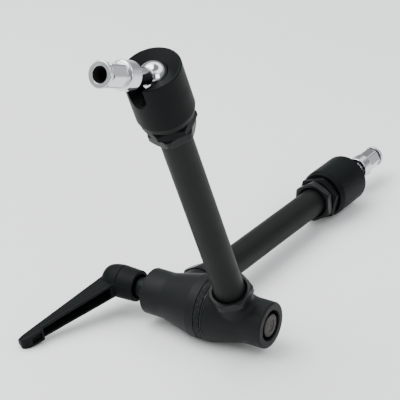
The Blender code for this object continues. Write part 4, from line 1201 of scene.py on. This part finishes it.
rings = [grip_ring(0.0, 0.0), grip_ring(TIP_START, 0.0), grip_ring(TIP_START + 0.7, -2.3)]
for i in range(9):
    bend = 1 - cos(pi / 2 * i / 8)
    rings.append(grip_ring(TIP_END + (HANDLE_LENGTH - TIP_END) * sin(pi / 2 * i / 8),
                           3.4 * bend - 2.6, bend, 0.5 * bend))
grip = skinned("lever_grip_cast", rings, lever_hub, lever_coat)
start, seam, end = (place - HANDLE_ROOT for place in (HUB_START, HUB_SEAM, HUB_END))
corners = [(0, start, 0), (HUB_RADIUS, start, 0.5), (HUB_SEAM_RADIUS, seam - SEAM_GAP, 0.1),
           (0, seam - SEAM_GAP, 0)]
carved(grip, turned("hub", corners, lever_lying, lever_coat), "UNION")
channel = [cut_ring(place, 1.5, -2.0, station(place)[1] - 2.6)
           for place in (CHANNEL_START, TIP_START - 0.6)]
pocket = [cut_ring(place, 1.4, -4.6, 0.4) for place in (TIP_START + 2.1, TIP_END + 0.6)]
for name, rings in (("channel", channel), ("pocket", pocket)):
    carved(grip, skinned(name, rings, lever_hub, lever_coat))
shell = grip.modifiers.new("voxels", "REMESH")
shell.mode = "VOXEL"
shell.voxel_size = VOXEL
soften = grip.modifiers.new("soften", "SMOOTH")
soften.factor = 0.5
soften.iterations = SMOOTH_ROUNDS
baked(grip)
corners = [(0, start - PAST, 0), (8.6, start - PAST, 0), (8.6, -4.8, 0), (8.2, -4.8, 0),
           (8.2, -1.0, 0), (SCREW_HOLE, -1.0, 0), (SCREW_HOLE, 1.0, 0), (5.2, 1.0, 0),
           (5.2, end + PAST, 0), (0, end + PAST, 0)]
carved(grip, turned("hollow", corners, lever_lying, lever_coat))
grip.data.materials.clear()
grip.data.materials.append(lever_coat)
stands_for(grip, "lever_handle", "lever_handle")

# %% Hub cap
CAP_HOLE = 5.3
cap_low = seam + SEAM_GAP
dome = [(HUB_DOME_RADIUS + (HUB_SEAM_RADIUS - HUB_DOME_RADIUS) * cos(pi / 2 * i / 16),
         cap_low + (end - cap_low) * sin(pi / 2 * i / 16), 0) for i in range(17)]
corners = [(CAP_HOLE, cap_low, 0), (HUB_SEAM_RADIUS - SEAM_GAP, cap_low, 0)] + dome + [
    (CAP_HOLE, end, 0.3), (CAP_HOLE, cap_low, 0)]
cap = turned("lever_hub_cap", corners, lever_lying, lever_coat)
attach(cap, "lever_handle")

# %% [markdown]
# The insert is the steel neck between lever and elbow: a flange, a neck and a ring of rounded
# teeth inside the hub. Only a short, dark ring of it shows, and its teeth when the lever is
# lifted. The teeth repeat round the axis, so their rings come from one cosine.

# %% Lever insert
TEETH = 18
TOOTH_POINTS = 8
TOOTH_RADIUS = 7.5
TOOTH_DEPTH = 0.6
TOOTH_LENGTH = 3.5
NECK_REACH = 6.9
INSERT_BORE = 5.3
FLANGE_END = 45.4


def toothed_ring(place, reach, depth=0.0):
    """Ring of points whose reach waves once for each tooth."""
    points = TEETH * TOOTH_POINTS
    ring = []
    for i in range(points):
        angle = 2 * pi * i / points
        wave = reach + depth / 2 * cos(TEETH * angle)
        ring.append((wave * cos(angle), wave * sin(angle), place))
    return ring


low, high, _, reach = measure("lever_insert", lever_lying)
flange_end = FLANGE_END - HANDLE_ROOT
teeth_low = high - TOOTH_LENGTH
neck = [(low, INSERT_BORE), (low, reach), (flange_end - 0.3, reach),
        (flange_end, reach - 0.3), (flange_end, NECK_REACH), (teeth_low, NECK_REACH)]
teeth = [(teeth_low, TOOTH_RADIUS - 0.3), (teeth_low + 0.3, TOOTH_RADIUS),
         (high - 0.4, TOOTH_RADIUS), (high, TOOTH_RADIUS - 0.4)]
inside = [(high, SCREW_HOLE), (high - 3.0, SCREW_HOLE), (high - 3.0, INSERT_BORE)]
rings = [toothed_ring(*level, depth)
         for levels, depth in ((neck, 0.0), (teeth, TOOTH_DEPTH), (inside, 0.0))
         for level in levels]
insert = skinned("lever_insert_toothed", rings, lever_lying, black_oxide, closed=True)
stands_for(insert, "lever_insert", "lever_insert")

# %% Lever screw
low, high, _, reach = measure("lever_screw", lever_lying)
SCREW_SHANK = 2.0
SCREW_HEAD = 3.0
KEY_REACH = 2.31
corners = [(0, low, 0), (SCREW_SHANK, low, 0.4), (SCREW_SHANK, high - SCREW_HEAD, 0.1),
           (reach, high - SCREW_HEAD, 0.2), (reach, high, 0.5), (0, high, 0)]
screw = turned("lever_screw_turned", corners, lever_lying, bolt_steel)
corners = [(0, high - 2.3, 0), (KEY_REACH, high - 2.0, 0), (KEY_REACH, high + 1, 0),
           (0, high + 1, 0)]
key = turned("key", corners, lever_lying, bolt_steel, sides=6)
stands_for(carved(screw, key), "lever_insert", "lever_screw")

# %% [markdown]
# Two springs are inside: one parts the wedges when the lever is loosened, and one pulls the
# handle back on its teeth. A coil is a round wire that follows a helix, so the tree sweeps a
# circle along Blender's spiral curve. Each spring runs between the ends of its node.


# %% Tree that winds a spring
def build_wound_spring():
    tree, given = geometry_tree("wound_spring", {
        "Turns": ("Float", 6.0), "Coil Radius": ("Float", 0.005),
        "Wire Radius": ("Float", 0.0005), "Length": ("Float", 0.01)})
    coil = node(tree, "GeometryNodeCurveSpiral", (1, 0), {
        "Resolution": 36, "Rotations": given["Turns"], "Start Radius": given["Coil Radius"],
        "End Radius": given["Coil Radius"], "Height": given["Length"]})
    wire = node(tree, "GeometryNodeCurvePrimitiveCircle", (1, 2),
                {"Resolution": 14, "Radius": given["Wire Radius"]})
    sweep = node(tree, "GeometryNodeCurveToMesh", (2, 0), {
        "Curve": coil.outputs["Curve"], "Profile Curve": wire.outputs["Curve"],
        "Fill Caps": True})
    return end_tree(tree, sweep.outputs["Mesh"], given["Finish"], 3)


spring_tree = build_wound_spring()


# %% Springs
def wound(name, node_name, body, matrix, wire, turns):
    """Spring between the ends of its node, in place."""
    low, high, _, reach = measure(node_name, matrix)
    lifted = matrix @ Matrix.Translation((0, 0, (low + wire / 2) * MM))
    thing = made_by(spring_tree, name, bpy.data.meshes.new(name), lifted, {
        "Turns": turns, "Coil Radius": (reach - wire / 2) * MM, "Wire Radius": wire / 2 * MM,
        "Length": (high - low - wire) * MM, "Finish": spring_steel})
    stands_for(thing, body, node_name)
    return thing


wound("release_spring_wound", "release_spring", "rear_arm", elbow_lying, 1.2, 8.0)
handle_spring = wound("lever_spring_wound", "lever_spring", "lever_handle", lever_lying, 0.8, 5.0)
low, high, _, _ = measure("lever_spring", lever_lying)
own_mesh(handle_spring)
